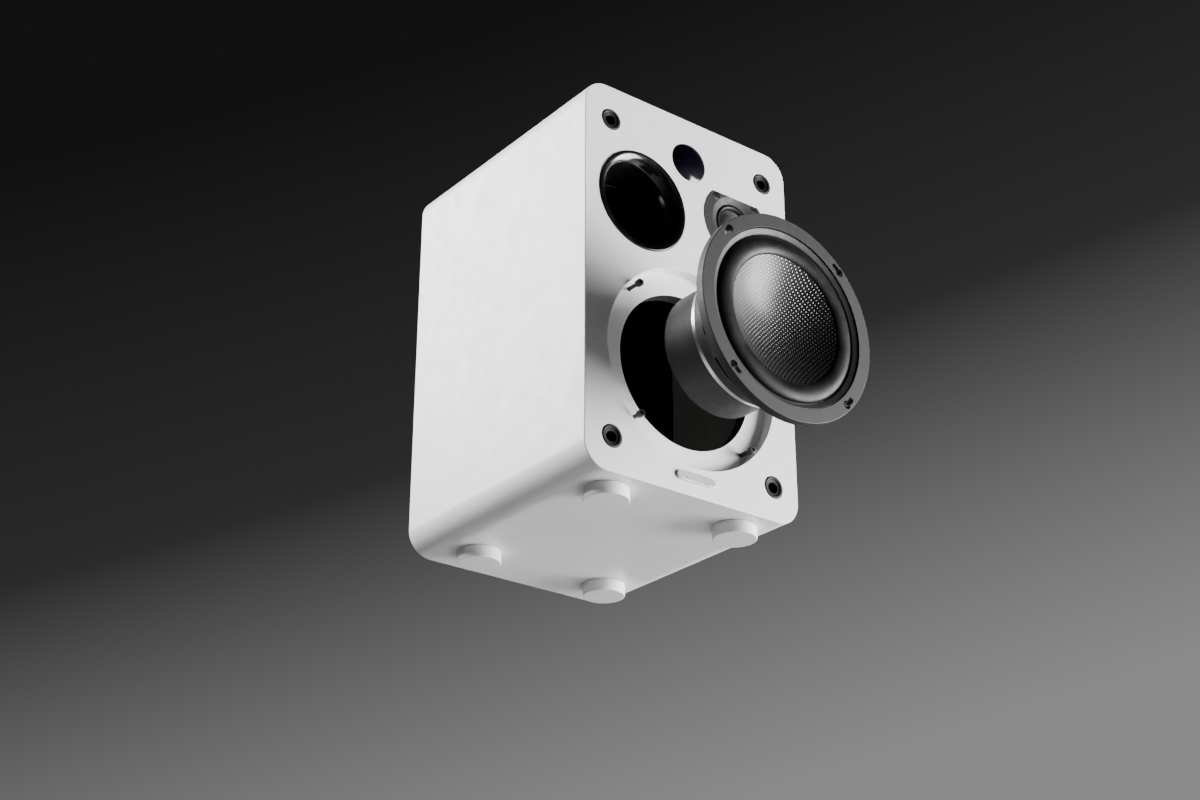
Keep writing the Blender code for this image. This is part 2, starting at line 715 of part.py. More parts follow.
def build_tweeter():
    tweeter = front_point(TWEETER_X, 0, TWEETER_Z)
    plate = flat_topped_disc(
        "tweeter_faceplate", TWEETER_PLATE_RADIUS, TWEETER_FLAT, 0, TWEETER_PLATE_THICKNESS, dark_grey()
    )
    mouth = [
        (0, -1 * MM),
        (TWEETER_MOUTH + 0.6 * MM, -1 * MM),
        (TWEETER_MOUTH, 0),
        (TWEETER_THROAT + 2 * MM, 1.3 * MM),
        (TWEETER_THROAT, 2.1 * MM),
        (TWEETER_THROAT, TWEETER_PLATE_THICKNESS + 1 * MM),
        (0, TWEETER_PLATE_THICKNESS + 1 * MM),
    ]
    boolean(plate, turned("tweeter_mouth", mouth, None, tweeter, MIDDLE_ROUND, cutters))
    holes = bmesh.new()
    for x, z in tweeter_screw_places():
        start = front_point(x, -1 * MM, z)
        add_rod(holes, tweeter_screw_shank() + GAP, start, front_point(x, 5 * MM, z), 16)
    boolean(plate, add_object("faceplate_holes", mesh_from(holes, "faceplate_holes"), None, cutters))
    sinks = bmesh.new()
    head = tweeter_screw_shank() + 1.4 * MM
    for x, z in tweeter_screw_places():
        add_rod(sinks, head + GAP, front_point(x, -1 * MM, z), front_point(x, 1.6 * MM, z), 16)
    boolean(plate, add_object("faceplate_sinks", mesh_from(sinks, "faceplate_sinks"), None, cutters))

    profile = [
        (0, 0.9 * MM),
        (0.9 * MM, 0.9 * MM),
        (0.9 * MM, 0.2 * MM),
        (head - 0.4 * MM, 0.2 * MM),
        (head, 0.6 * MM),
        (head, 1.6 * MM - GAP),
        (tweeter_screw_shank(), 1.6 * MM - GAP),
        (tweeter_screw_shank(), 12 * MM),
        (0, 13 * MM),
    ]
    template = turned("tweeter_screw", profile, black_matte(), (0, 0, 0), 10)
    places = [front_point(x, 0, z) for x, z in tweeter_screw_places()]
    copied("tweeter_screw", template, places)

    coil = TWEETER_DOME_RADIUS - 0.4 * MM
    dome_base = TWEETER_DOME_HEIGHT - TWEETER_DOME_PROUD
    turned(
        "tweeter_dome",
        dome_profile(TWEETER_DOME_RADIUS, TWEETER_DOME_HEIGHT, -TWEETER_DOME_PROUD, 0.5 * MM),
        silver(), tweeter, MIDDLE_ROUND,
    )
    turned(
        "tweeter_coil",
        ring_profile(coil - 0.8 * MM, coil - 0.2 * MM, dome_base + 0.4 * MM, dome_base + 5.5 * MM),
        copper(), tweeter, MIDDLE_ROUND,
    )
    roll_start = TWEETER_DOME_RADIUS + 0.35 * MM
    roll_end = TWEETER_THROAT - GAP
    roll_middle = (roll_start + roll_end) / 2
    roll = (roll_end - roll_start) / 2
    base = 3.1 * MM
    arc = [
        (roll_middle - roll * cos(pi * i / 4), base - roll * 0.8 * sin(pi * i / 4))
        for i in range(5)
    ]
    back = [(roll_end, base + 0.5 * MM), (roll_start, base + 0.5 * MM)]
    turned("tweeter_surround", arc + back, silver(), tweeter, MIDDLE_ROUND)

    front = TWEETER_PLATE_THICKNESS + GAP + 1.2 * MM
    plate_back = front + 3 * MM
    plate = ring_profile(coil + 0.8 * MM, TWEETER_BODY_RADIUS - 1 * MM, front, plate_back)
    turned("tweeter_front_plate", plate, zinc_steel(), tweeter, MIDDLE_ROUND)
    magnet_back = plate_back + GAP + 8 * MM
    magnet = ring_profile(15.5 * MM, TWEETER_BODY_RADIUS, plate_back + GAP, magnet_back, 0.8 * MM)
    turned("tweeter_magnet", magnet, ferrite(), tweeter, MIDDLE_ROUND)
    cup_front = magnet_back + GAP
    pole = coil - 1.6 * MM
    cup = [
        (0, front + 0.5 * MM + TWEETER_DOME_HEIGHT * 0.4),
        (pole, front + 0.5 * MM + TWEETER_DOME_HEIGHT * 0.4),
        (pole, cup_front),
        (TWEETER_BODY_RADIUS - 2 * MM, cup_front),
        (TWEETER_BODY_RADIUS - 2 * MM, cup_front + 9 * MM),
        (TWEETER_BODY_RADIUS - 5 * MM, cup_front + 12 * MM),
        (0, cup_front + 12 * MM),
    ]
    turned("tweeter_back_cup", cup, black_matte(), tweeter, MIDDLE_ROUND)


# ---------------------------------------------------------------- woofer

def woofer_centre():
    return front_point(0, -WOOFER_OUT, WOOFER_Z)


def build_woofer_frame():
    inner_front = BASKET_FRONT_RADIUS - BASKET_WALL
    inner_rear = BASKET_REAR_RADIUS - BASKET_WALL
    ledge = LIP_DEPTH + RUBBER + GAP
    floor = BASKET_DEPTH - BASKET_FLOOR
    edge = 0.5 * MM
    profile = [
        (FLANGE_STEP_RADIUS, 0),
        (FLANGE_RADIUS - edge, 0),
        (FLANGE_RADIUS, edge),
        (FLANGE_RADIUS, FLANGE_THICKNESS - edge),
        (FLANGE_RADIUS - edge, FLANGE_THICKNESS),
        (BASKET_FRONT_RADIUS, FLANGE_THICKNESS),
        (BASKET_FRONT_RADIUS, BASKET_WINDOW_FRONT),
        (BASKET_REAR_RADIUS, BASKET_WINDOW_REAR),
        (BASKET_REAR_RADIUS, BASKET_DEPTH),
        (BASKET_FLOOR_HOLE, BASKET_DEPTH),
        (BASKET_FLOOR_HOLE, floor),
        (inner_rear - SPIDER_LEDGE, floor),
        (inner_rear - SPIDER_LEDGE, spider_seat()),
        (inner_rear, spider_seat()),
        (inner_rear, BASKET_WINDOW_REAR),
        (inner_front, BASKET_WINDOW_FRONT),
        (inner_front, ledge),
        (FLANGE_STEP_RADIUS, ledge),
    ]
    centre = woofer_centre()
    frame = turned("woofer_frame", profile, flange_grey(), centre, 40)

    windows = bmesh.new()
    pitch = 360 / BASKET_LEGS
    for leg in range(BASKET_LEGS):
        start = BASKET_LEG_ANGLE + (pitch - BASKET_WINDOW_SPAN) / 2 + leg * pitch
        add_sector(
            windows, centre, BASKET_FLOOR_HOLE + 12 * MM, BASKET_FRONT_RADIUS + 6 * MM,
            BASKET_WINDOW_FRONT, BASKET_WINDOW_REAR, start, BASKET_WINDOW_SPAN, 4,
        )
    boolean(frame, add_object("basket_windows", mesh_from(windows, "basket_windows"), None, cutters))

    entries = bmesh.new()
    ends = bmesh.new()
    slots = bmesh.new()
    slot = SCREW_SHANK_RADIUS + KEYHOLE_CLEARANCE
    front = centre.y - 2 * MM
    back = centre.y + FLANGE_THICKNESS + 2 * MM
    for angle in SCREW_ANGLES:
        x, z = around(SCREW_CIRCLE, angle, centre.x, centre.z)
        add_rod(entries, SCREW_HEAD_RADIUS + KEYHOLE_CLEARANCE, (x, front, z), (x, back, z))
        x, z = around(SCREW_CIRCLE, angle + LOCK_TURN, centre.x, centre.z)
        add_rod(ends, slot, (x, front, z), (x, back, z), 12)
        add_sector(
            slots, centre, SCREW_CIRCLE - slot, SCREW_CIRCLE + slot,
            -2 * MM, FLANGE_THICKNESS + 2 * MM, angle, LOCK_TURN, 3,
        )
    boolean(frame, add_object("keyhole_entries", mesh_from(entries, "keyhole_entries"), None, cutters))
    boolean(frame, add_object("keyhole_ends", mesh_from(ends, "keyhole_ends"), None, cutters))
    boolean(frame, add_object("keyhole_slots", mesh_from(slots, "keyhole_slots"), None, cutters))


def add_sector(shape, centre, inner, outer, front, back, start, span, steps):
    """Adds a ring sector about the Y axis through centre, between two depths, to a bmesh."""
    corners = [(inner, front), (outer, front), (outer, back), (inner, back)]
    turn = radians(start)
    verts = [
        shape.verts.new(centre + Vector((r * cos(turn), depth, r * sin(turn)))) for r, depth in corners
    ]
    face = shape.faces.new(verts)
    bmesh.ops.spin(shape, geom=[face], cent=centre, axis=(0, -1, 0), angle=radians(span), steps=steps)


def spider_seat():
    return BASKET_WINDOW_REAR + 1.2 * MM


def roll_points(steps=6):
    """The surround's front surface, from its outer lip over the roll to its inner lip."""
    middle = (ROLL_OUTER + ROLL_INNER) / 2
    half = (ROLL_OUTER - ROLL_INNER) / 2
    points = [(SURROUND_OUTER, LIP_DEPTH)]
    for i in range(steps + 1):
        turn = pi * i / steps
        points.append((middle + half * cos(turn), LIP_DEPTH - ROLL_HEIGHT * sin(turn)))
    behind_cone = cone_depth(SURROUND_INNER) + CONE_THICKNESS + SLOPE_GAP
    points.append((CONE_RADIUS, LIP_DEPTH))
    points.append((SURROUND_INNER, behind_cone))
    return points


def cone_depth(radius):
    """Depth of the dish's front surface behind the flange's front."""
    edge = LIP_DEPTH - CONE_THICKNESS - GAP
    return edge + CONE_DEPTH * (1 - (radius / CONE_RADIUS) ** 2)


def build_cone():
    centre = woofer_centre()
    front = roll_points()
    back = [(radius, depth + RUBBER) for radius, depth in front]
    turned("woofer_surround", front[::-1] + back, black_rubber(), centre, ROUND)

    steps = 5
    radii = [CONE_RADIUS * i / steps for i in range(steps + 1)]
    dish = [(radius, cone_depth(radius)) for radius in radii]
    rear = [(radius, cone_depth(radius) + CONE_THICKNESS) for radius in radii]
    turned("woofer_cone", dish + rear[::-1], woven_fibre(), centre, ROUND)

    former_front = cone_depth(COIL_RADIUS) + CONE_THICKNESS + 2 * GAP
    former_back = former_front + COIL_LENGTH
    former_outer = COIL_RADIUS + FORMER_WALL
    winding_outer = former_outer + WINDING_WALL
    coil = [
        (COIL_RADIUS, former_front),
        (former_outer, former_front),
        (former_outer, former_back - 11 * MM),
        (winding_outer, former_back - 11 * MM),
        (winding_outer, former_back - 1 * MM),
        (former_outer, former_back - 1 * MM),
        (former_outer, former_back),
        (COIL_RADIUS, former_back),
    ]
    turned("voice_coil", coil, copper(), centre, MIDDLE_ROUND)

    seat = spider_seat() - GAP
    inner = COIL_RADIUS + FORMER_WALL + GAP
    outer = BASKET_REAR_RADIUS - BASKET_WALL - GAP
    waves = 3
    count = waves * 2
    ripple = []
    for i in range(count + 1):
        radius = inner + 1 * MM + (outer - SPIDER_LEDGE - inner - 1 * MM) * i / count
        ripple.append((radius, seat - 0.7 * MM - 1 * MM * (-1) ** i))
    top = [(inner, seat - 0.7 * MM)] + ripple + [(outer, seat - 0.7 * MM)]
    under = [(radius, depth + 0.7 * MM) for radius, depth in top]
    cloth = finish_material("treated cloth", (0.5, 0.36, 0.16), 0.9)
    turned("spider", top + under[::-1], cloth, centre, MIDDLE_ROUND)


def build_woofer_body():
    centre = woofer_centre()
    ledge = LIP_DEPTH - GAP
    trim = [
        (TRIM_INNER, ledge - 1.4 * MM),
        (FLANGE_STEP_RADIUS - GAP, FLANGE_STEP),
        (FLANGE_STEP_RADIUS - GAP, ledge),
        (TRIM_INNER - 0.6 * MM, ledge),
        (TRIM_INNER - 0.6 * MM, ledge - 0.8 * MM),
    ]
    turned("woofer_trim_ring", trim, dark_grey(), centre, ROUND)
    start = FLANGE_THICKNESS + GAP
    gasket = ring_profile(WOOFER_HOLE + 0.6 * MM, GASKET_OUTER, start, start + GASKET_THICKNESS)
    turned("woofer_gasket", gasket, black_rubber(), centre, ROUND)

    bore = COIL_RADIUS + FORMER_WALL + WINDING_WALL + COIL_GAP
    plate_front = BASKET_DEPTH + GAP
    plate_back = plate_front + MAGNET_PLATE_THICKNESS
    plate = ring_profile(bore, MAGNET_PLATE_RADIUS, plate_front, plate_back, 0.5 * MM)
    turned("woofer_front_plate", plate, zinc_steel(), centre, ROUND)
    magnet_back = plate_back + GAP + MAGNET_THICKNESS
    magnet = ring_profile(24 * MM, MAGNET_RADIUS, plate_back + GAP, magnet_back)
    turned("woofer_magnet", magnet, ferrite(), centre, MIDDLE_ROUND)
    back_front = magnet_back + GAP
    back_back = back_front + BACK_PLATE_THICKNESS
    pole = COIL_RADIUS - COIL_GAP
    pole_profile = [
        (0, plate_front),
        (pole, plate_front),
        (pole, back_front),
        (MAGNET_RADIUS, back_front),
        (MAGNET_RADIUS, back_back),
        (0, back_back),
    ]
    turned("woofer_back_plate", pole_profile, zinc_steel(), centre, MIDDLE_ROUND)
    bucking_front = back_back + GAP
    bucking_back = bucking_front + BUCKING_MAGNET_THICKNESS
    bucking = ring_profile(8 * MM, MAGNET_RADIUS - 4 * MM, bucking_front, bucking_back)
    turned("bucking_magnet", bucking, ferrite(), centre, MIDDLE_ROUND)

    outer = MAGNET_RADIUS + 0.7 * MM + BOOT_WALL
    edge = 2.6 * MM
    corner = [
        (outer - edge + edge * cos(pi / 2 * i / 3), WOOFER_LENGTH - edge + edge * sin(pi / 2 * i / 3))
        for i in range(4)
    ]
    boot = [(outer - BOOT_WALL, plate_back + GAP), (outer, plate_back + GAP)] + corner + [
        (0, WOOFER_LENGTH),
        (0, WOOFER_LENGTH - BOOT_WALL),
        (outer - BOOT_WALL, WOOFER_LENGTH - BOOT_WALL),
    ]
    first = boot.index((0, WOOFER_LENGTH - BOOT_WALL))
    boot = boot[first:] + boot[:first]
    turned("magnet_boot", boot, dark_grey(), centre, ROUND)

    terminal_low = BASKET_FRONT_RADIUS - 1.8 * MM
    terminals = bmesh.new()
    add_box(
        terminals, centre + Vector((-5 * MM, 20 * MM, terminal_low)),
        centre + Vector((5 * MM, 27 * MM, terminal_low + 1.6 * MM)),
    )
    made = add_object("woofer_terminals", mesh_from(terminals, "woofer_terminals"), black_matte())
    tabs = bmesh.new()
    for x in (-2.6 * MM, 2.6 * MM):
        add_box(
            tabs, centre + Vector((x - 1.4 * MM, 26 * MM, terminal_low + 0.4 * MM)),
            centre + Vector((x + 1.4 * MM, 33 * MM, terminal_low + 1.2 * MM)),
        )
    boolean(made, add_object("terminal_tabs", mesh_from(tabs, "terminal_tabs"), None, cutters), "UNION")


def build_woofer_screws():
    top = REBATE_DEPTH - SCREW_STANDS_OUT
    neck = top + SCREW_HEAD_HEIGHT
    profile = [
        (0, top),
        (SCREW_HEAD_RADIUS - 0.4 * MM, top),
        (SCREW_HEAD_RADIUS, top + 0.4 * MM),
        (SCREW_HEAD_RADIUS, neck),
        (SCREW_SHANK_RADIUS, neck),
        (SCREW_SHANK_RADIUS, REBATE_DEPTH + SCREW_GRIP),
        (0, REBATE_DEPTH + SCREW_GRIP),
    ]
    template = turned("screw", profile, black_matte(), (0, 0, 0), SMALL_ROUND)
    socket = rod("screw_socket", 1.7 * MM, (0, top - 1 * MM, 0), (0, top + 2.2 * MM, 0), None, 6, cutters)
    boolean(template, socket)
    places = [front_point(x, 0, z) for x, z in woofer_screw_places()]
    copied("woofer_screw", template, places)
    bpy.data.objects.remove(socket)


# ---------------------------------------------------------------- back of the cabinet

def plate_screw_shank():
    return 1.5 * MM


def plate_screw_places():
    side = PLATE_WIDTH / 2 - PLATE_LAP / 2
    rise = PLATE_HEIGHT / 2 - PLATE_LAP / 2
    return [(x, PLATE_Z + z) for x in (-side, side) for z in (-rise, -rise / 3, rise / 3, rise)]


def knob_places():
    return {
        "treble": (-KNOB_SPACING, KNOB_ROW_Z, KNOB_RADIUS),
        "volume": (0.0, KNOB_ROW_Z, VOLUME_KNOB_RADIUS),
        "bass": (KNOB_SPACING, KNOB_ROW_Z, KNOB_RADIUS),
    }


def jack_places():
    return [(x, JACK_Z - z) for x in (-1.5 * JACK_SPACING, -0.5 * JACK_SPACING) for z in (0, JACK_SPACING)]


def post_places():
    middle = 1.5 * JACK_SPACING + 6 * MM
    return {"black": middle - POST_SPACING / 2, "red": middle + POST_SPACING / 2}


def build_amplifier_plate():
    radius = 3 * MM
    plate = rounded_block(
        "amplifier_plate", PLATE_WIDTH, PLATE_HEIGHT, radius,
        front_point(0, PLATE_BACK, PLATE_Z), front_point(0, PLATE_FACE, PLATE_Z), black_matte(), 3,
    )
    holes = bmesh.new()
    front, back = PLATE_BACK - 2 * MM, PLATE_FACE + 2 * MM
    for x, z in plate_screw_places():
        add_rod(holes, plate_screw_shank() + GAP, front_point(x, front, z), front_point(x, back, z), 10)
    for x, z, _ in knob_places().values():
        add_rod(holes, BUSHING_RADIUS + GAP, front_point(x, front, z), front_point(x, back, z))
    for x, z in jack_places():
        add_rod(holes, JACK_RADIUS + GAP, front_point(x, front, z), front_point(x, back, z))
    for x in post_places().values():
        start = front_point(x, front, POST_Z)
        add_rod(holes, POST_STUD_RADIUS + 2 * GAP, start, front_point(x, back, POST_Z), 12)
    add_opening(holes, INLET_X, INLET_WIDTH, INLET_HEIGHT, front, back)
    add_opening(holes, SWITCH_X, SWITCH_WIDTH, SWITCH_HEIGHT, front, back)
    boolean(plate, add_object("plate_holes", mesh_from(holes, "plate_holes"), None, cutters))


def add_opening(shape, x, width, height, front, back):
    half_width = width / 2 - FLANGED_RIM
    half_height = height / 2 - FLANGED_RIM
    add_box(
        shape, front_point(x - half_width, front, POWER_Z - half_height),
        front_point(x + half_width, back, POWER_Z + half_height),
    )


def flanged_body(name, x, width, height, depth, material):
    """A moulded body behind the plate with a thin flange on the plate's face."""
    flange = box(
        name, front_point(x - width / 2, PLATE_FACE + GAP, POWER_Z - height / 2),
        front_point(x + width / 2, PLATE_FACE + GAP + 1.8 * MM, POWER_Z + height / 2), material, 0.5 * MM,
    )
    half_width = width / 2 - FLANGED_RIM - GAP
    half_height = height / 2 - FLANGED_RIM - GAP
    body = cutter_box(
        name + "_body", front_point(x - half_width, PLATE_FACE - depth, POWER_Z - half_height),
        front_point(x + half_width, PLATE_FACE + GAP + 1 * MM, POWER_Z + half_height),
    )
    boolean(flange, body, "UNION")
    return flange


def build_power_entry():
    inlet = flanged_body("mains_inlet", INLET_X, INLET_WIDTH, INLET_HEIGHT, INLET_DEPTH, black_matte())
    half_width = INLET_WIDTH / 2 - FLANGED_RIM - 2.2 * MM
    half_height = INLET_HEIGHT / 2 - FLANGED_RIM - 2.2 * MM
    floor = PLATE_FACE - INLET_DEPTH + 2 * MM
    recess = cutter_box(
        "inlet_recess", front_point(INLET_X - half_width, floor, POWER_Z - half_height),
        front_point(INLET_X + half_width, PLATE_FACE + 6 * MM, POWER_Z + half_height),
    )
    boolean(inlet, recess)
    pins = bmesh.new()
    for side in (-1, 1):
        x = INLET_X + side * 4.3 * MM
        start = front_point(x, floor - 1 * MM, POWER_Z)
        add_rod(pins, 1.2 * MM, start, front_point(x, PLATE_FACE - 2 * MM, POWER_Z), 12)
    boolean(inlet, add_object("inlet_pins", mesh_from(pins, "inlet_pins"), None, cutters), "UNION")

    frame = flanged_body("switch_frame", SWITCH_X, SWITCH_WIDTH, SWITCH_HEIGHT, 10 * MM, black_matte())
    opening_half_width = SWITCH_WIDTH / 2 - 1.8 * MM - GAP
    opening_half_height = SWITCH_HEIGHT / 2 - 2 * MM
    tall = opening_half_height - 0.2 * MM
    boolean(frame, cutter_box(
        "switch_opening",
        front_point(SWITCH_X - opening_half_width, PLATE_FACE - 8 * MM, POWER_Z - tall),
        front_point(SWITCH_X + opening_half_width, PLATE_FACE + 6 * MM, POWER_Z + tall),
    ))
    half = opening_half_height - 0.9 * MM
    outline = [
        (3.6 * MM, half),
        (2.2 * MM, 0),
        (3.6 * MM, -half),
        (-4.5 * MM, -half + 1.6 * MM),
        (-4.5 * MM, half - 1.6 * MM),
    ]
    rocker = bmesh.new()
    width = opening_half_width - 0.5 * MM
    verts = [rocker.verts.new((-width, out, z)) for out, z in outline]
    face = rocker.faces.new(verts)
    grown = bmesh.ops.extrude_face_region(rocker, geom=[face])
    moved = [item for item in grown["geom"] if isinstance(item, bmesh.types.BMVert)]
    bmesh.ops.translate(rocker, vec=(2 * width, 0, 0), verts=moved)
    pivot = front_point(SWITCH_X, PLATE_FACE - 0.5 * MM, POWER_Z)
    add_object(
        "power_rocker", mesh_from(rocker, "power_rocker"), black_gloss(),
        location=pivot, rotation=(radians(-ROCKER_SWING), 0, 0),
    )


def build_controls():
    bushing_end = PLATE_FACE + 4 * MM
    back = PLATE_BACK - 1 * MM
    strip = front_point(-KNOB_SPACING - 11 * MM, back - 10 * MM, KNOB_ROW_Z - 9 * MM)
    strip_end = front_point(KNOB_SPACING + 11 * MM, back - 8.4 * MM, KNOB_ROW_Z + 9 * MM)
    made = box("control_pots", strip, strip_end, circuit_board())
    pots = bmesh.new()
    necks = bmesh.new()
    bores = bmesh.new()
    for x, z, _ in knob_places().values():
        low = front_point(x - 8 * MM, back - 9 * MM, z - 8 * MM)
        add_box(pots, low, front_point(x + 8 * MM, back, z + 8 * MM))
        add_rod(necks, BUSHING_RADIUS, front_point(x, back - 1 * MM, z), front_point(x, bushing_end, z), 24)
        bore = SHAFT_RADIUS + SHAFT_CLEARANCE
        add_rod(bores, bore, front_point(x, back - 7 * MM, z), front_point(x, bushing_end + 2 * MM, z), 24)
    boolean(made, add_object("pot_bodies", mesh_from(pots, "pot_bodies"), None, cutters), "UNION")
    boolean(made, add_object("pot_necks", mesh_from(necks, "pot_necks"), None, cutters), "UNION")
    boolean(made, add_object("pot_bores", mesh_from(bores, "pot_bores"), None, cutters))

    start = PLATE_FACE + 0.6 * MM
    end = start + KNOB_LENGTH
    for name, (x, z, radius) in knob_places().items():
        centre = front_point(x, 0, z)
        skirt = BUSHING_RADIUS + 1 * MM
        edge = 0.8 * MM
        profile = [
            (0, end),
            (radius - edge - 0.8 * MM, end),
            (radius - 0.8 * MM, end - edge),
            (radius, start + 0.4 * MM),
            (radius - 0.4 * MM, start),
            (skirt, start),
            (skirt, bushing_end + 0.6 * MM),
            (SHAFT_RADIUS, bushing_end + 0.6 * MM),
            (SHAFT_RADIUS, back - 6 * MM),
            (0, back - 6 * MM),
        ]
        knob = turned(name + "_knob", profile[::-1], black_matte(), centre, 24)
        pointer = cutter_box(
            name + "_pointer", centre + Vector((-0.5 * MM, end - 0.7 * MM, radius * 0.35)),
            centre + Vector((0.5 * MM, end + 1 * MM, radius + 1 * MM)),
        )
        boolean(knob, pointer)


def build_connectors():
    barrels = []
    for x, z in jack_places():
        barrels.append(front_point(x, 0, z))
    tip = PLATE_FACE + 8 * MM
    inside = PLATE_BACK - 9 * MM
    profile = [
        (0, inside + 2 * MM),
        (0, tip - 8 * MM),
        (1.7 * MM, tip - 8 * MM),
        (1.7 * MM, tip),
        (JACK_RADIUS - 0.4 * MM, tip),
        (JACK_RADIUS, tip - 0.4 * MM),
        (JACK_RADIUS, inside + 2 * MM),
    ]
    rim = JACK_RADIUS + 3 * MM
    corner, far = jack_places()[1], jack_places()[2]
    jacks = box(
        "input_jacks", front_point(corner[0] - rim, inside, corner[1] - rim),
        front_point(far[0] + rim, PLATE_BACK - GAP, far[1] + rim), black_matte(), 1 * MM, 1,
    )
    for number, place in enumerate(barrels, 1):
        barrel = turned(f"jack_{number}", profile, None, place, 12, cutters)
        boolean(jacks, barrel, "UNION")

    collar_front = PLATE_FACE + GAP
    collar_back = collar_front + POST_COLLAR
    cap_start = collar_back + GAP
    cap_end = cap_start + POST_CAP_LENGTH
    stud_end = cap_end - 3 * MM
    profile = [
        (0, inside + 2 * MM),
        (0, stud_end),
        (POST_STUD_RADIUS, stud_end),
        (POST_STUD_RADIUS, collar_back),
        (POST_CAP_RADIUS + 0.7 * MM, collar_back),
        (POST_CAP_RADIUS + 0.7 * MM, collar_front),
        (POST_STUD_RADIUS, collar_front),
        (POST_STUD_RADIUS, inside + 2 * MM),
    ]
    left, right = post_places()["black"], post_places()["red"]
    posts = box(
        "speaker_posts", front_point(left - 8 * MM, inside, POST_Z - 8 * MM),
        front_point(right + 8 * MM, PLATE_BACK - GAP, POST_Z + 8 * MM), black_matte(), 1 * MM, 1,
    )
    for name, x in post_places().items():
        stud = turned("post_" + name, profile, None, front_point(x, 0, POST_Z), SMALL_ROUND, cutters)
        boolean(posts, stud, "UNION")
    materials = {"black": black_gloss(), "red": red_plastic()}
    for name, x in post_places().items():
        bore = POST_STUD_RADIUS + GAP
        profile = [
            (0, cap_end),
            (POST_CAP_RADIUS - 1 * MM, cap_end),
            (POST_CAP_RADIUS, cap_end - 1 * MM),
            (POST_CAP_RADIUS, cap_start),
            (bore, cap_start),
            (bore, stud_end + GAP),
            (0, stud_end + GAP),
        ]
        centre = front_point(x, 0, POST_Z)
        cap = turned("post_cap_" + name, profile[::-1], materials[name], centre, SMALL_ROUND)
        grips = bmesh.new()
        for i in range(8):
            gx, gz = around(POST_CAP_RADIUS + 0.4 * MM, 45 * i)
            add_rod(
                grips, 0.9 * MM, centre + Vector((gx, cap_start + 1.5 * MM, gz)),
                centre + Vector((gx, cap_end + 1 * MM, gz)), 8,
            )
        boolean(cap, add_object("cap_grips_" + name, mesh_from(grips, "grips"), None, cutters))


def build_electronics():
    board_back = PLATE_BACK - 15 * MM
    board_front = board_back - 1.6 * MM
    low, high = 128 * MM, 216 * MM
    half = 54 * MM
    board = box(
        "amplifier_board", front_point(-half, board_front, low), front_point(half, board_back, high),
        circuit_board(),
    )
    soldered = bmesh.new()
    for x, radius, height in ((-40, 9, 30), (-19, 9, 30), (-3, 5, 20), (9, 5, 20)):
        place = front_point(x * MM, board_front + 0.8 * MM, low + 14 * MM)
        add_rod(soldered, radius * MM, place, place - Vector((0, height * MM, 0)), 20)
    for i in range(6):
        x = (-40 + 7 * i) * MM
        add_box(
            soldered, front_point(x, board_front - 22 * MM, low + 42 * MM),
            front_point(x + 2 * MM, board_front + 0.8 * MM, low + 78 * MM),
        )
    tool = add_object("soldered_parts", mesh_from(soldered, "soldered_parts"), None, cutters)
    boolean(board, tool, "UNION")

    core_back = PLATE_BACK - GAP
    core = box(
        "transformer", front_point(-24 * MM, core_back - 34 * MM, 78 * MM),
        front_point(24 * MM, core_back, 118 * MM), zinc_steel(), 1 * MM, 1,
    )
    coil = box(
        "coil_block", front_point(-15 * MM, core_back - 40 * MM, 84 * MM),
        front_point(15 * MM, core_back - 20 * MM, 112 * MM), None, 1 * MM, 1, cutters,
    )
    boolean(core, coil, "UNION")


clear_scene()
parts = new_collection("bookshelf_speaker")
cutters = new_collection("cutters")
build_cabinet()
build_rear_panel()
build_brace_and_wadding()
build_feet()
build_sockets()
build_port()
build_sensor()
build_nameplate()
build_tweeter()
build_woofer_frame()
build_cone()
build_woofer_body()
build_woofer_screws()
build_amplifier_plate()
build_power_entry()
build_controls()
build_connectors()
build_electronics()
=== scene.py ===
# Powered bookshelf speaker, its woofer drawn out on the line of its mounting screws.
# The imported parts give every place; this script gives each of them its finish and fine shape.
import json
import math

import bmesh
import bpy
from mathutils import Matrix, Vector, noise

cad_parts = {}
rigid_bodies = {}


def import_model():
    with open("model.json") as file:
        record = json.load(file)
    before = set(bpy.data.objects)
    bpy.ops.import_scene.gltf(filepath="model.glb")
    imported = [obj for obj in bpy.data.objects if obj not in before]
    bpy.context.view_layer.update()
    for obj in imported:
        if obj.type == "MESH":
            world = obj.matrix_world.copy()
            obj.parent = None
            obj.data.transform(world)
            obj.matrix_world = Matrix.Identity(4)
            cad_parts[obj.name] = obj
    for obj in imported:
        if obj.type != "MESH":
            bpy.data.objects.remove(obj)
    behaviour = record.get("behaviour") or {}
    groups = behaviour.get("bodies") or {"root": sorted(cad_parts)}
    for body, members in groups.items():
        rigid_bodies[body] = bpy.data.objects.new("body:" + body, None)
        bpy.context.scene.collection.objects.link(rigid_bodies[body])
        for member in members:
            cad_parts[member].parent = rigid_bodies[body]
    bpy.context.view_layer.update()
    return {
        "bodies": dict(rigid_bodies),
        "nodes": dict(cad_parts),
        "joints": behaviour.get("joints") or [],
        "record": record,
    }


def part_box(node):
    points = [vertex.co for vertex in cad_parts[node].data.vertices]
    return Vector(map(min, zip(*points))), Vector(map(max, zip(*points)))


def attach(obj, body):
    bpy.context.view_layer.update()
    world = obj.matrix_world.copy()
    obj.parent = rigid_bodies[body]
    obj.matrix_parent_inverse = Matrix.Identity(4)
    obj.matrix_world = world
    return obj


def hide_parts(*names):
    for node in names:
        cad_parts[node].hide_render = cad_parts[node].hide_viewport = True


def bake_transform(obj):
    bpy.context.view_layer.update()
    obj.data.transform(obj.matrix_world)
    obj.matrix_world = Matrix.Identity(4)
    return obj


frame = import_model()
nodes = frame["nodes"]
mm = 0.001

# small helpers for finishes


def addNode(finish, kind, **settings):
    made = finish.node_tree.nodes.new(kind)
    for name, value in settings.items():
        setattr(made, name, value)
    return made


def wire(finish, start, end):
    finish.node_tree.links.new(start, end)


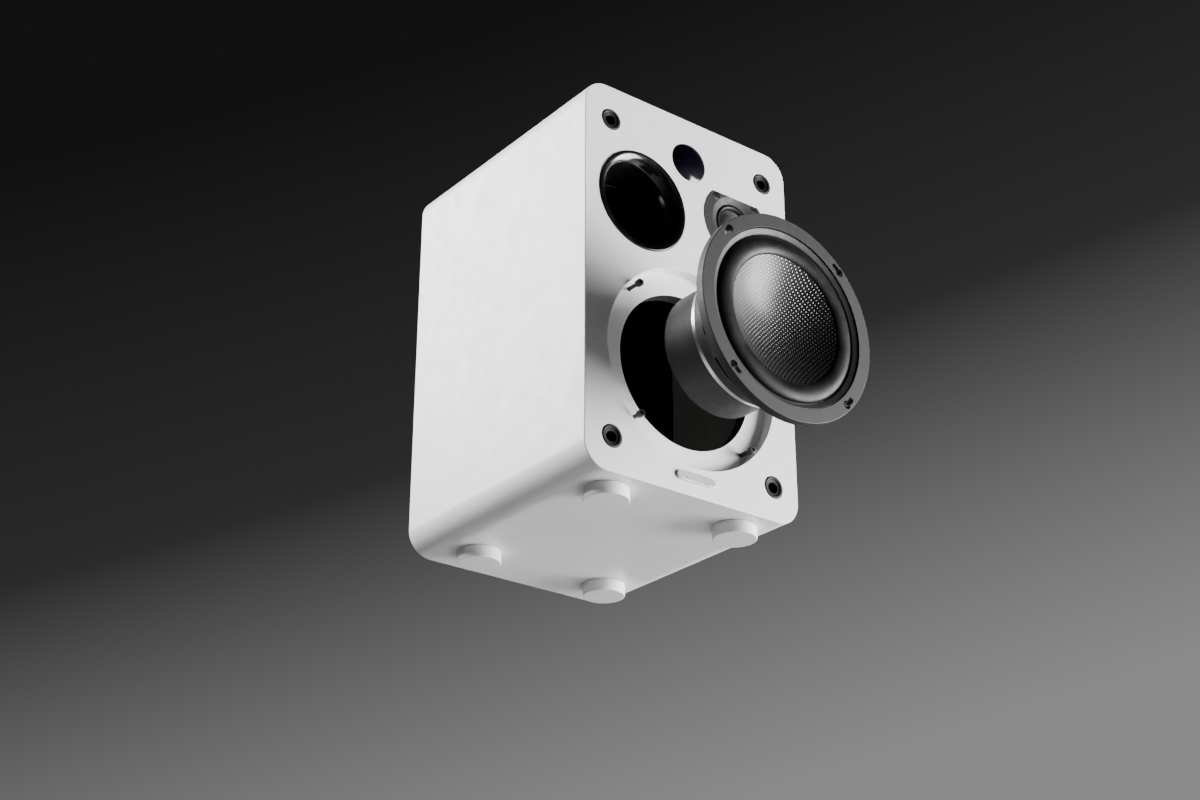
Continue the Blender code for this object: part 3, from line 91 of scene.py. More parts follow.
def sums(finish, operation, *terms):
    made = addNode(finish, "ShaderNodeMath", operation=operation)
    for socket, term in zip(made.inputs, terms):
        if isinstance(term, (int, float)):
            socket.default_value = term
        else:
            wire(finish, term, socket)
    return made.outputs[0]


def textured(finish, kind, place, values, **settings):
    # a node that reads a place, with its sockets set by name
    made = addNode(finish, kind, **settings)
    for socket, value in values.items():
        made.inputs[socket].default_value = value
    wire(finish, place, made.inputs["Vector"])
    return made.outputs


def placeOn(finish, stretch=None):
    where = addNode(finish, "ShaderNodeTexCoord").outputs["Object"]
    if stretch is None:
        return where
    return textured(finish, "ShaderNodeMapping", where, {"Scale": stretch})["Vector"]


def axesOf(finish, place):
    split = addNode(finish, "ShaderNodeSeparateXYZ")
    wire(finish, place, split.inputs[0])
    return split.outputs


def speckle(finish, place, scale, detail=3.0, rough=0.55):
    values = {"Scale": scale, "Detail": detail, "Roughness": rough}
    return textured(finish, "ShaderNodeTexNoise", place, values)["Fac"]


def bands(finish, place, scale, distortion, direction="X", **values):
    values = {"Scale": scale, "Distortion": distortion} | {
        socket.replace("_", " "): value for socket, value in values.items()
    }
    made = textured(
        finish, "ShaderNodeTexWave", place, values, wave_type="BANDS", bands_direction=direction
    )
    return made["Fac"]


def spread(finish, value, low, high, fromLow=0.3, fromHigh=0.7):
    made = addNode(finish, "ShaderNodeMapRange")
    made.inputs["From Min"].default_value = fromLow
    made.inputs["From Max"].default_value = fromHigh
    made.inputs["To Min"].default_value = low
    made.inputs["To Max"].default_value = high
    wire(finish, value, made.inputs["Value"])
    return made.outputs["Result"]


def tones(finish, value, *stops):
    made = addNode(finish, "ShaderNodeValToRGB")
    strip = made.color_ramp.elements
    while len(strip) < len(stops):
        strip.new(0.5)
    for element, (position, colour) in zip(strip, stops):
        element.position = position
        element.color = (*colour, 1)
    wire(finish, value, made.inputs["Fac"])
    return made.outputs["Color"]


def shaded(tone, share):
    return tuple(c * share for c in tone)


def newFinish(name, colour, roughness, metallic=0.0, **sockets):
    finish = bpy.data.materials.new(name)
    finish.use_nodes = True
    shader = shaderOf(finish)
    shader.inputs["Base Color"].default_value = (*colour, 1)
    shader.inputs["Roughness"].default_value = roughness
    shader.inputs["Metallic"].default_value = metallic
    for socket, value in sockets.items():
        shader.inputs[socket.replace("_", " ")].default_value = value
    finish.diffuse_color = (*colour, 1)
    return finish


def shaderOf(finish):
    return finish.node_tree.nodes["Principled BSDF"]


def setRoughness(finish, value, low, high, *span):
    wire(finish, spread(finish, value, low, high, *span), shaderOf(finish).inputs["Roughness"])


def setColour(finish, value, *stops):
    wire(finish, tones(finish, value, *stops), shaderOf(finish).inputs["Base Color"])


def raised(finish, height, depth, strength=1.0, under=None):
    made = addNode(finish, "ShaderNodeBump")
    made.inputs["Strength"].default_value = strength
    made.inputs["Distance"].default_value = depth
    wire(finish, height, made.inputs["Height"])
    if under is not None:
        wire(finish, under, made.inputs["Normal"])
    wire(finish, made.outputs["Normal"], shaderOf(finish).inputs["Normal"])
    return made.outputs["Normal"]


# camera and studio; the camera looks up at the front from below on the left

shot = {
    "place": (-0.79704, -0.98880, -0.49445),
    "aim": (-0.01939, 0.01302, 0.10311),
    "lens": 60.11,
    "sensor": 36.0,
    "clip": (0.01, 50),
}
studio = {
    "floorHeight": -0.95,
    "floorReach": 14,
    "floorTone": (0.78, 0.78, 0.79),
    "sky": [  # height, tone
        (0.2, (0.26, 0.26, 0.265)),
        (0.42, (0.03, 0.03, 0.031)),
        (0.62, (0.009, 0.009, 0.0095)),
    ],
    "skyLean": 0.42,
    "skyLift": 0.231,
    "lamps": [  # name, place, aim, width, height, watts, spread in degrees
        ("keyRight", (1.75, -1.2, -0.04), (0.0, -0.06, 0.18), 1.5, 1.3, 50, 85),
        ("lowRight", (1.05, -0.3, -0.7), (0.0, -0.02, 0.1), 0.9, 0.8, 0.5, 90),
        ("sideLeft", (-1.15, 0.42, 1.0), (-0.09, 0.05, 0.18), 0.6, 0.6, 3.6, 45),
        ("rearHigh", (-1.3, 1.9, 1.5), (0.0, 0.1, 0.15), 1.2, 1.0, 7, 45),
        ("floorWash", (1.6, 0.1, 0.6), (0.75, -0.1, -0.95), 0.5, 0.5, 4, 45),
    ],
}


def hung(name, data, place, target):
    # a lamp or camera at a place, turned to face its target
    holder = bpy.data.objects.new(name, data)
    bpy.context.scene.collection.objects.link(holder)
    holder.location = place
    holder.rotation_mode = "QUATERNION"
    holder.rotation_quaternion = (Vector(target) - Vector(place)).to_track_quat("-Z", "Y")
    return holder


def addCamera():
    lens = bpy.data.cameras.new("photoView")
    lens.lens = shot["lens"]
    lens.sensor_width = shot["sensor"]
    lens.sensor_fit = "HORIZONTAL"
    lens.clip_start, lens.clip_end = shot["clip"]
    bpy.context.scene.camera = hung("photoView", lens, shot["place"], shot["aim"])


def addLamps():
    for name, place, target, width, height, watts, spreadAngle in studio["lamps"]:
        lamp = bpy.data.lights.new(name, "AREA")
        lamp.shape = "RECTANGLE"
        lamp.size = width
        lamp.size_y = height
        lamp.energy = watts
        lamp.spread = math.radians(spreadAngle)
        hung(name, lamp, place, target)


def addSky():
    # pale low down and dark above, with the boundary leaning to one side
    world = bpy.data.worlds.new("studioSky")
    bpy.context.scene.world = world
    world.use_nodes = True
    x, y, z = axesOf(world, addNode(world, "ShaderNodeTexCoord").outputs["Generated"])
    leaning = sums(world, "ADD", z, sums(world, "MULTIPLY", x, -studio["skyLean"]))
    height = sums(world, "ADD", leaning, studio["skyLift"])
    back = world.node_tree.nodes["Background"]
    wire(world, tones(world, height, *studio["sky"]), back.inputs["Color"])


addCamera()
addLamps()
addSky()
print("camera, lamps and sky in place")

# the finishes


def satinLacquer(name, tone, roughness=0.36):
    # sprayed lacquer: faint orange peel, a little cloudiness in the sheen
    finish = newFinish(name, tone, roughness, Specular_IOR_Level=0.45)
    place = placeOn(finish)
    cloud = speckle(finish, place, 14, 4)
    low = shaded(tone, 0.965)
    setColour(finish, cloud, (0.3, low), (0.7, tone))
    setRoughness(finish, speckle(finish, place, 90, 3), roughness - 0.05, roughness + 0.06)
    peel = speckle(finish, place, 420, 2, 0.4)
    dust = speckle(finish, place, 3600, 2, 0.6)
    under = raised(finish, peel, 0.00012, 0.22)
    raised(finish, dust, 0.00001, 0.2, under)
    return finish


def glossPlastic(name, tone, roughness=0.07):
    # injection moulded gloss: near mirror, a few hairlines and finger haze
    finish = newFinish(name, tone, roughness, Coat_Weight=0.4, Coat_Roughness=0.04)
    place = placeOn(finish)
    haze = speckle(finish, place, 60, 5, 0.65)
    setRoughness(finish, haze, roughness * 0.6, roughness * 2.2, 0.4, 0.75)
    low = shaded(tone, 0.7)
    setColour(finish, speckle(finish, place, 35), (0.3, low), (0.7, tone))
    ripple = speckle(finish, place, 130, 1, 0.3)
    raised(finish, ripple, 0.00008, 0.1)
    return finish


def mouldedPlastic(name, tone, roughness=0.5, grain=2600, depth=0.00006, strength=0.5):
    # spark textured moulding
    finish = newFinish(name, tone, roughness, Specular_IOR_Level=0.36)
    place = placeOn(finish)
    cells = textured(finish, "ShaderNodeTexVoronoi", place, {"Scale": grain}, feature="F1")
    fine = speckle(finish, place, grain * 0.7, 3)
    mixed = sums(finish, "ADD", cells["Distance"], fine)
    raised(finish, mixed, depth, strength)
    low = shaded(tone, 0.82)
    high = tuple(min(1.0, c * 1.12) for c in tone)
    setColour(finish, speckle(finish, place, 55, 5, 0.6), (0.3, low), (0.7, high))
    setRoughness(finish, speckle(finish, place, 200, 4), roughness - 0.07, roughness + 0.08)
    return finish


def softRubber(name, tone, roughness=0.58):
    # butyl rubber: fine pores, a dusty bloom in patches
    finish = newFinish(
        name, tone, roughness, Specular_IOR_Level=0.2, Sheen_Weight=0.02, Sheen_Roughness=0.4
    )
    place = placeOn(finish)
    bloom = speckle(finish, place, 45, 6, 0.7)
    high = tuple(c * 1.9 + 0.0015 for c in tone)
    setColour(finish, bloom, (0.42, tone), (0.78, high))
    setRoughness(finish, bloom, roughness - 0.08, roughness + 0.12, 0.4, 0.7)
    pores = speckle(finish, place, 5200, 2, 0.7)
    raised(finish, pores, 0.00003, 0.5)
    return finish


def ringBrushed(name, tone, roughness=0.3, rings=2600):
    # metal turned on a lathe: fine rings round the part's own Y axis
    finish = newFinish(name, tone, roughness, 1.0)
    place = placeOn(finish)
    x, y, z = axesOf(finish, place)
    square = sums(finish, "ADD", sums(finish, "MULTIPLY", x, x), sums(finish, "MULTIPLY", z, z))
    line = sums(finish, "ADD", sums(finish, "SQRT", square), y)
    joined = addNode(finish, "ShaderNodeCombineXYZ")
    wire(finish, line, joined.inputs[0])
    grooves = speckle(finish, joined.outputs[0], rings, 4, 0.7)
    raised(finish, grooves, 0.00003, 0.35)
    setRoughness(finish, grooves, roughness - 0.08, roughness + 0.12)
    stain = speckle(finish, place, 70, 4)
    low = shaded(tone, 0.8)
    setColour(finish, stain, (0.35, low), (0.65, tone))
    return finish


def blackOxide(name, tone=(0.05, 0.05, 0.053), roughness=0.38):
    finish = newFinish(name, tone, roughness, 0.75)
    place = placeOn(finish)
    wear = speckle(finish, place, 900, 4, 0.65)
    setColour(finish, wear, (0.5, tone), (0.85, (0.11, 0.105, 0.1)))
    setRoughness(finish, speckle(finish, place, 400), roughness - 0.08, roughness + 0.15)
    raised(finish, speckle(finish, place, 4200, 2), 0.00002, 0.4)
    return finish


def smokedLens(name, tone=(0.0012, 0.0007, 0.0022)):
    # dyed acrylic that only infrared light passes: black with a violet cast
    finish = newFinish(name, tone, 0.12, Coat_Weight=0.3, Coat_Roughness=0.1, IOR=1.49)
    place = placeOn(finish)
    setColour(finish, speckle(finish, place, 60, 3), (0.35, tone), (0.7, (0.0025, 0.001, 0.0055)))
    setRoughness(finish, speckle(finish, place, 160, 4), 0.09, 0.16)
    raised(finish, speckle(finish, place, 220, 1, 0.3), 0.00003, 0.08)
    return finish


wovenLook = {"bead": 1.6 * mm, "lift": 0.0004, "sink": 0.22, "shine": 0.2}


def wovenCone(name, tone=(0.05, 0.05, 0.052)):
    # lacquered weave: glossy beads where the warp crosses over, in alternate squares; the valleys between the
    # beads are painted shade, near black and with little reflection
    finish = newFinish(name, tone, 0.3, 0.0, Coat_Weight=0.55, Coat_Roughness=0.33)
    place = placeOn(finish)
    x, y, z = axesOf(finish, place)
    pitch = math.pi / wovenLook["bead"]
    threads = [sums(finish, "SINE", sums(finish, "MULTIPLY", axis, pitch)) for axis in (x, z)]
    crossing = sums(finish, "MULTIPLY", *threads)
    under = sums(finish, "MULTIPLY", crossing, -wovenLook["sink"])
    cloth = sums(finish, "POWER", sums(finish, "MAXIMUM", crossing, under), 0.75)
    fibres = speckle(finish, place, 2600, 2)
    grain = raised(finish, fibres, 0.00002, 0.2)
    raised(finish, cloth, wovenLook["lift"], 1.0, grain)
    # painted shade: the colour falls to near black in the valleys between the beads
    low = shaded(tone, 0.06)
    setColour(finish, cloth, (0.2, low), (0.62, tone))
    setRoughness(finish, cloth, 0.6, wovenLook["shine"], 0.15, 0.6)
    # painted shade: the valleys between the beads are given almost no reflection
    shine = spread(finish, cloth, 0.05, 1.0, 0.2, 0.6)
    wire(finish, shine, shaderOf(finish).inputs["Specular IOR Level"])
    return finish


def shadeBlackBoard(name, tone=(0.012, 0.012, 0.012)):
    # fibreboard coloured black on the inside of the box: painted shade for the dark inside the closed cabinet
    finish = newFinish(name, tone, 0.85, Specular_IOR_Level=0.2)
    place = placeOn(finish, (1, 1, 3))
    fibre = speckle(finish, place, 900, 6, 0.7)
    setColour(finish, fibre, (0.3, tone), (0.8, (0.03, 0.027, 0.024)))
    raised(finish, fibre, 0.0001, 0.4)
    return finish


def woolWadding(name, tone=(0.42, 0.42, 0.40)):
    finish = newFinish(name, tone, 0.95, Sheen_Weight=0.5, Sheen_Roughness=0.6)
    tangle = bands(finish, placeOn(finish), 60, 26, Detail=6, Detail_Scale=5)
    low = shaded(tone, 0.62)
    setColour(finish, tangle, (0.1, low), (0.8, tone))
    raised(finish, tangle, 0.0006, 0.7)
    return finish


def powderCoat(name, tone=(0.022, 0.022, 0.024)):
    finish = newFinish(name, tone, 0.52)
    place = placeOn(finish)
    beads = textured(finish, "ShaderNodeTexVoronoi", place, {"Scale": 1500}, feature="SMOOTH_F1")
    raised(finish, beads["Distance"], 0.00012, 0.55)
    high = shaded(tone, 1.5)
    setColour(finish, speckle(finish, place, 40, 5), (0.3, tone), (0.75, high))
    setRoughness(finish, speckle(finish, place, 300), 0.44, 0.62)
    return finish


def greenBoard(name, tone=(0.012, 0.075, 0.03)):
    # solder mask over copper: tracks stand a little proud and paler
    finish = newFinish(name, tone, 0.35, Coat_Weight=0.3)
    place = placeOn(finish)
    upright = textured(finish, "ShaderNodeMapping", place, {"Rotation": (math.radians(90), 0, 0)})
    tracks = textured(finish, "ShaderNodeTexBrick", upright["Vector"], {
        "Scale": 160, "Mortar Size": 0.035, "Mortar": (0.05, 0.17, 0.08, 1), "Color1": (*tone, 1),
        "Color2": (tone[0] * 0.7, tone[1] * 0.75, tone[2] * 0.7, 1),
    })
    wire(finish, tracks["Color"], shaderOf(finish).inputs["Base Color"])
    raised(finish, tracks["Fac"], 0.00005, 0.5)
    setRoughness(finish, speckle(finish, place, 120), 0.28, 0.45)
    return finish


def pressedSteel(name, tone=(0.5, 0.5, 0.52), roughness=0.36):
    finish = newFinish(name, tone, roughness, 1.0)
    grain = speckle(finish, placeOn(finish, (1, 1, 18)), 260, 6, 0.65)
    low = shaded(tone, 0.72)
    setColour(finish, grain, (0.3, low), (0.7, tone))
    setRoughness(finish, grain, roughness - 0.08, roughness + 0.14)
    raised(finish, grain, 0.00004, 0.3)
    return finish


def windingWire(name, tone=(0.42, 0.15, 0.045)):
    finish = newFinish(name, tone, 0.3, 0.9, Coat_Weight=0.5)
    turns = bands(finish, placeOn(finish), 700, 0.4, "Y")
    # painted shade: the colour darkens in the grooves between the turns of wire
    low = shaded(tone, 0.4)
    setColour(finish, turns, (0.1, low), (0.6, tone))
    raised(finish, turns, 0.0001, 0.6)
    return finish


def ferriteBlack(name, tone=(0.028, 0.027, 0.029)):
    finish = newFinish(name, tone, 0.62)
    place = placeOn(finish)
    chips = speckle(finish, place, 500, 7, 0.75)
    setColour(finish, chips, (0.35, tone), (0.75, shaded(tone, 2.1)))
    raised(finish, chips, 0.00012, 0.5)
    setRoughness(finish, chips, 0.5, 0.75)
    return finish


def treatedCloth(name, tone=(0.30, 0.19, 0.07)):
    finish = newFinish(name, tone, 0.85, Sheen_Weight=0.2)
    place = placeOn(finish)
    cloth = sums(finish, "MULTIPLY", *(bands(finish, place, 420, 0.8, axis) for axis in ("X", "Z")))
    # painted shade: the colour darkens in the hollows between the threads
    low = shaded(tone, 0.5)
    setColour(finish, cloth, (0.05, low), (0.6, tone))
    raised(finish, cloth, 0.00015, 0.6)
    return finish



finishes = {
    "lacquer": satinLacquer("whiteLacquer", (0.86, 0.86, 0.865)),
    "footWhite": satinLacquer("footWhite", (0.86, 0.86, 0.865), 0.42),
    # painted shade: black for the faces inside the box
    "insideShadeBlack": shadeBlackBoard("insideShadeBlack"),
    "wadding": woolWadding("woolWadding"),
    "portGloss": glossPlastic("portGloss", (0.0025, 0.0025, 0.0028), 0.17),
    "tubeBlack": mouldedPlastic("tubeBlack", (0.010, 0.010, 0.0105), 0.55, 1800),
    "lens": smokedLens("smokedLens"),
    "facePlate": mouldedPlastic("facePlateGrey", (0.014, 0.014, 0.0145), 0.55, 2400),
    # painted light and shade: flange and basket are one casting in two tones, the flange lighter and the
    # basket behind it darker
    "flange": mouldedPlastic("flangeLitGrey", (0.022, 0.022, 0.0227), 0.55, 2300, 0.00005, 0.45),
    "basket": mouldedPlastic("basketShadedGrey", (0.007, 0.007, 0.0073), 0.5, 2300, 0.00005, 0.4),
    "trim": mouldedPlastic("trimGrey", (0.026, 0.026, 0.027), 0.5, 2600),
    "surround": softRubber("surroundRubber", (0.0025, 0.0025, 0.0027), 0.46),
    "gasket": softRubber("gasketRubber", (0.012, 0.012, 0.012), 0.75),
    "socket": softRubber("socketRubber", (0.006, 0.006, 0.0063), 0.55),
    "cone": wovenCone("wovenCone"),
    "boot": mouldedPlastic("bootGrey", (0.0015, 0.0015, 0.0016), 0.5, 1500, 0.00005, 0.35),
    "brightRim": ringBrushed("zincRim", (0.62, 0.62, 0.64), 0.22),
    "dome": ringBrushed("domeMetal", (0.66, 0.66, 0.67), 0.42, 1400),
    "screw": blackOxide("blackOxide"),
    "ferrite": ferriteBlack("ferriteBlack"),
    "copper": windingWire("windingWire"),
    "spider": treatedCloth("treatedCloth"),
    "plate": powderCoat("powderCoat"),
    "knob": mouldedPlastic("knobBlack", (0.014, 0.014, 0.015), 0.42, 2600, 0.00004, 0.4),
    "connector": mouldedPlastic("connectorBlack", (0.012, 0.012, 0.013), 0.4, 2200),
    "rocker": glossPlastic("rockerGloss", (0.01, 0.01, 0.011), 0.16),
    "capRed": glossPlastic("capRed", (0.32, 0.008, 0.008), 0.16),
    "capBlack": glossPlastic("capBlack", (0.008, 0.008, 0.009), 0.16),
    "steel": pressedSteel("pressedSteel"),
    "greenBoard": greenBoard("greenBoard"),
    "nameplate": pressedSteel("brushedPlate", (0.58, 0.58, 0.6), 0.3),
    "gold": ringBrushed("goldPlate", (0.72, 0.5, 0.19), 0.2, 1800),
    "mark": mouldedPlastic("printWhite", (0.62, 0.62, 0.62), 0.6, 3000, 0.00001, 0.2),
    "jackRed": glossPlastic("jackRed", (0.42, 0.01, 0.01), 0.25),
    "jackWhite": glossPlastic("jackWhite", (0.62, 0.62, 0.6), 0.25),
    "floor": mouldedPlastic("studioFloor", studio["floorTone"], 0.7, 40, 0.0004, 0.1),
}
print("finishes mixed:", len(finishes))

# small helpers for shapes, whose depths count from the cabinet's front

shellLow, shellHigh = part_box("cabinet_shell")
front = shellLow.y


def finishedMesh(shape, name, sharp=33):
    bmesh.ops.remove_doubles(shape, verts=shape.verts, dist=1e-7)
    bmesh.ops.recalc_face_normals(shape, faces=shape.faces)
    mesh = bpy.data.meshes.new(name)
    shape.to_mesh(mesh)
    shape.free()
    mesh.shade_smooth()
    mesh.set_sharp_from_angle(angle=math.radians(sharp))
    return mesh


def addPiece(name, mesh, finish, place=(0, 0, 0)):
    piece = bpy.data.objects.new(name, mesh)
    bpy.context.scene.collection.objects.link(piece)
    piece.location = place
    if finish:
        piece.data.materials.clear()
        piece.data.materials.append(finishes[finish])
    return piece


def settle(piece, body, slotName, *standsFor):
    even = piece.modifiers.new("evenShade", "WEIGHTED_NORMAL")
    even.keep_sharp = True
    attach(piece, body)
    if standsFor:
        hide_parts(*standsFor)
    return piece


def rounded(corners):
    # corners are (radius, depth) or (radius, depth, fillet) in mm, in order round the section
    points = []
    for i, corner in enumerate(corners):
        here = Vector(corner[:2])
        size = corner[2] if len(corner) > 2 else 0
        before = Vector(corners[i - 1][:2]) - here
        after = Vector(corners[(i + 1) % len(corners)][:2]) - here
        if not size or before.length < 1e-6 or after.length < 1e-6:
            points.append(here)
            continue
        half = before.angle(after) / 2
        back = min(size / math.tan(half), before.length * 0.49, after.length * 0.49)
        size = back * math.tan(half)
        inward = (before.normalized() + after.normalized()).normalized()
        centre = here + inward * size / math.sin(half)
        start = here + before.normalized() * back - centre
        sweep = start.angle_signed(here + after.normalized() * back - centre)
        steps = max(2, round(abs(sweep) / math.radians(20)))
        for k in range(steps + 1):
            turn = -sweep * k / steps
            points.append(centre + Matrix.Rotation(turn, 2) @ start)
    return points


def ringOf(shape, around, depth, radiusAt):
    # points round the Y axis, in mm; a ring without a radius is one point on the axis
    first = radiusAt(0)
    if first < 1e-4:
        return [shape.verts.new((0, depth * mm, 0))]
    ring = []
    for k in range(around):
        turn = 2 * math.pi * k / around
        radius = radiusAt(turn) * mm
        ring.append(shape.verts.new((radius * math.cos(turn), depth * mm, radius * math.sin(turn))))
    return ring


def skinned(shape, rings, capped=True):
    # faces from each ring to the next, and across the two end rings
    for one, two in zip(rings, rings[1:]):
        count = max(len(one), len(two))
        for k in range(count):
            n = (k + 1) % count
            quad = (one[k % len(one)], one[n % len(one)], two[n % len(two)], two[k % len(two)])
            corners = list(dict.fromkeys(quad))
            if len(corners) > 2:
                shape.faces.new(corners)
    if capped:
        shape.faces.new(rings[0])
        shape.faces.new(rings[-1])


def lathe(name, corners, finish, place, around=128):
    # turns a section given in mm about the Y axis through place
    shape = bmesh.new()
    rings = [ringOf(shape, around, point.y, lambda turn: point.x) for point in rounded(corners)]
    if len(rings[0]) > 1 or len(rings[-1]) > 1:
        rings.append(rings[0])
    skinned(shape, rings, capped=False)
    return addPiece(name, finishedMesh(shape, name), finish, place)


def rod(name, radius, near, far, place, around):
    # a plain cylinder from depth near to depth far, to cut with
    return lathe(name, [(0, near), (radius, near), (radius, far), (0, far)], None, place, around)


def roundedRectangle(width, height, radius, steps):
    def outline(inset):
        points = []
        r = max(radius - inset, 0.01)
        for quarter, (sx, sz) in enumerate(((1, 1), (-1, 1), (-1, -1), (1, -1))):
            for k in range(steps + 1):
                turn = math.pi / 2 * (quarter + k / steps)
                x = sx * (width / 2 - inset - r) + r * math.cos(turn)
                z = sz * (height / 2 - inset - r) + r * math.sin(turn)
                points.append((x, z))
        return points
    return outline


def flatToppedDisc(radius, flat, steps=112):
    def outline(inset):
        r, top = radius - inset, flat - inset
        start = math.asin(top / r)
        sweep = 2 * math.pi - (math.pi - 2 * start)
        points = []
        for k in range(steps + 1):
            turn = math.pi - start + sweep * k / steps
            points.append((r * math.cos(turn), r * math.sin(turn)))
        return points
    return outline


def stack(name, outline, layers, finish, place):
    # lofts an outline (mm) through layers of (depth, inset), ends closed
    shape = bmesh.new()
    skinned(shape, [
        [shape.verts.new((x * mm, depth * mm, z * mm)) for x, z in outline(inset)]
        for depth, inset in layers
    ])
    return addPiece(name, finishedMesh(shape, name), finish, place)


def edged(front, back, edge, steps=4):
    # layers of a block whose two end faces have rounded rims
    rim = []
    for k in range(steps, -1, -1):
        turn = math.pi / 2 * k / steps
        rim.append((edge * (1 - math.sin(turn)), edge * (1 - math.cos(turn))))
    far = [(back - depth, inset) for depth, inset in reversed(rim)]
    return [(front + depth, inset) for depth, inset in rim] + far


def block(name, low, high, edge, finish, segments=3):
    # a box between two corners in mm, every edge rounded
    shape = bmesh.new()
    made = bmesh.ops.create_cube(shape, size=1)
    low, high = Vector(low) * mm, Vector(high) * mm
    bmesh.ops.scale(shape, vec=high - low, verts=made["verts"])
    if edge:
        bmesh.ops.bevel(
            shape, geom=shape.edges[:], offset=edge * mm, segments=segments, profile=0.5, affect="EDGES"
        )
    return addPiece(name, finishedMesh(shape, name), finish, (low + high) / 2)


def applied(piece):
    bpy.context.view_layer.update()
    graph = bpy.context.evaluated_depsgraph_get()
    flat = bpy.data.meshes.new_from_object(piece.evaluated_get(graph))
    piece.modifiers.clear()
    piece.data = flat
    return piece


def carve(piece, *tools, operation="DIFFERENCE", sharp=33):
    for tool in tools:
        cut = piece.modifiers.new("cut", "BOOLEAN")
        cut.operation = operation
        cut.solver = "EXACT"
        cut.object = tool
    applied(piece)
    for tool in tools:
        bpy.data.objects.remove(tool)
    piece.data.shade_smooth()
    piece.data.set_sharp_from_angle(angle=math.radians(sharp))
    return piece


def joined(name, *pieces):
    # several pieces that never touch become one mesh, to cut or to show together
    shape = bmesh.new()
    for piece in pieces:
        piece.data.transform(Matrix.Translation(piece.location))
        shape.from_mesh(piece.data)
        bpy.data.objects.remove(piece)
    mesh = bpy.data.meshes.new(name)
    shape.to_mesh(mesh)
    shape.free()
    made = bpy.data.objects.new(name, mesh)
    bpy.context.scene.collection.objects.link(made)
    return made


def boreCutter(name, radius, depth, lip, place, around=128):
    # a drill with a flared shoulder, which leaves the hole's rim rounded
    corners = [(0, -4), (radius + lip, -4)]
    for k in range(5):
        turn = math.pi / 2 * (1 - k / 4)
        start = 0.004 if k == 0 else 0
        corners.append((radius + lip - lip * math.cos(turn), lip - lip * math.sin(turn) - start))
    corners += [(radius, depth), (0, depth)]
    return lathe(name, corners, None, place, around)


def middle(node):
    low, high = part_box(node)
    return (low + high) / 2


def levelWith(node):
    # the point of the front plane straight before a node's middle
    centre = middle(node)
    return Vector((centre.x, front, centre.z))


def crossSlots(head, where, long, half, near, far):
    # a cross recess cut into a screw's head
    tools = [
        block(f"cross{k}", (-a, near, -b), (a, far, b), 0, None)
        for k, (a, b) in enumerate(((long, half), (half, long)))
    ]
    for tool in tools:
        tool.location += where
    carve(head, *tools, sharp=40)


# cabinet

cabinet = {
    "width": 185, "height": 293, "depth": 205, "corner": 18.5, "rim": 0.8, "wall": 12, "baffle": 18,
    "rebate": (73.2, 8.3, 0.45),  # radius, depth and rounding of each seat
    "portSeat": (38.2, 1.9, 0.35),
    "lensSeat": (15.1, 4.3, 0.3),
    "socketSeat": (8.25, 13.4, 0.3),
    "plateSeat": (30.3, 21.6, 3.3),  # radius, flat top, depth
    "wooferHole": 56.6, "portHole": 33.7, "lensHole": 11.3, "tweeterHole": 21.6, "screwHole": 1.8,
}


def buildCabinet():
    at = Vector((0, front, (shellLow.z + shellHigh.z) / 2))
    width, height, depth = cabinet["width"], cabinet["height"], cabinet["depth"]
    wall, corner, baffle = cabinet["wall"], cabinet["corner"], cabinet["baffle"]
    shell = stack(
        "cabinet", roundedRectangle(width, height, corner, 18), edged(0, depth, cabinet["rim"]),
        "lacquer", at,
    )
    inner = roundedRectangle(width - 2 * wall, height - 2 * wall, corner - wall, 8)
    carve(shell, stack("cavity", inner, [(baffle, 0), (depth + 9, 0)], None, at))
    radius, flat, deep = cabinet["plateSeat"]
    tools = [
        boreCutter("rebate", *cabinet["rebate"], levelWith("woofer_frame"), 160),
        boreCutter("portSeat", *cabinet["portSeat"], levelWith("port_flare")),
        boreCutter("lensSeat", *cabinet["lensSeat"], levelWith("sensor_lens"), 96),
        stack(
            "plateSeat", flatToppedDisc(radius, flat), [(-3, -0.3), (-0.05, -0.3), (0.3, 0), (deep, 0)],
            None, levelWith("tweeter_dome"),
        ),
    ]
    for n in range(1, 5):
        place = levelWith(f"grille_socket_{n}")
        tools.append(boreCutter(f"socketSeat{n}", *cabinet["socketSeat"], place, 64))
    carve(shell, joined("seats", *tools))
    holes = [
        ("wooferHole", "woofer_frame", 1, 160), ("portHole", "port_flare", 1, 96),
        ("lensHole", "sensor_lens", 1, 64), ("tweeterHole", "tweeter_dome", 1, 80),
    ]
    holes += [("screwHole", f"woofer_screw_{n}", 5, 32) for n in range(1, 5)]
    carve(shell, joined("holes", *(
        rod(hole, cabinet[hole], near, baffle + 3, levelWith(node), around)
        for hole, node, near, around in holes
    )))
    shadeInside(shell, at)
    return settle(shell, "cabinet", "white_lacquer", "cabinet_shell")


def shadeInside(shell, at):
    # painted shade: the walls of the cavity and of the holes through the baffle are coloured black for the
    # dark inside the box
    shell.data.materials.append(finishes["insideShadeBlack"])
    halfWidth = (cabinet["width"] / 2 - cabinet["wall"] + 0.05) * mm
    halfHeight = (cabinet["height"] / 2 - cabinet["wall"] + 0.05) * mm
    woofer = middle("woofer_frame") - at
    for polygon in shell.data.polygons:
        centre, normal = polygon.center, polygon.normal
        inside = abs(centre.x) < halfWidth and abs(centre.z) < halfHeight
        deep = centre.y > (cabinet["baffle"] - 0.05) * mm and centre.y < (cabinet["depth"] - 1) * mm
        out = math.hypot(centre.x - woofer.x, centre.z - woofer.z)
        throat = abs(out - cabinet["wooferHole"] * mm) < 0.4 * mm and abs(normal.y) < 0.2
        if (inside and deep) or throat:
            polygon.material_index = 1


foot = {"radius": 15.5, "edge": 0.9, "topEdge": 0.3}


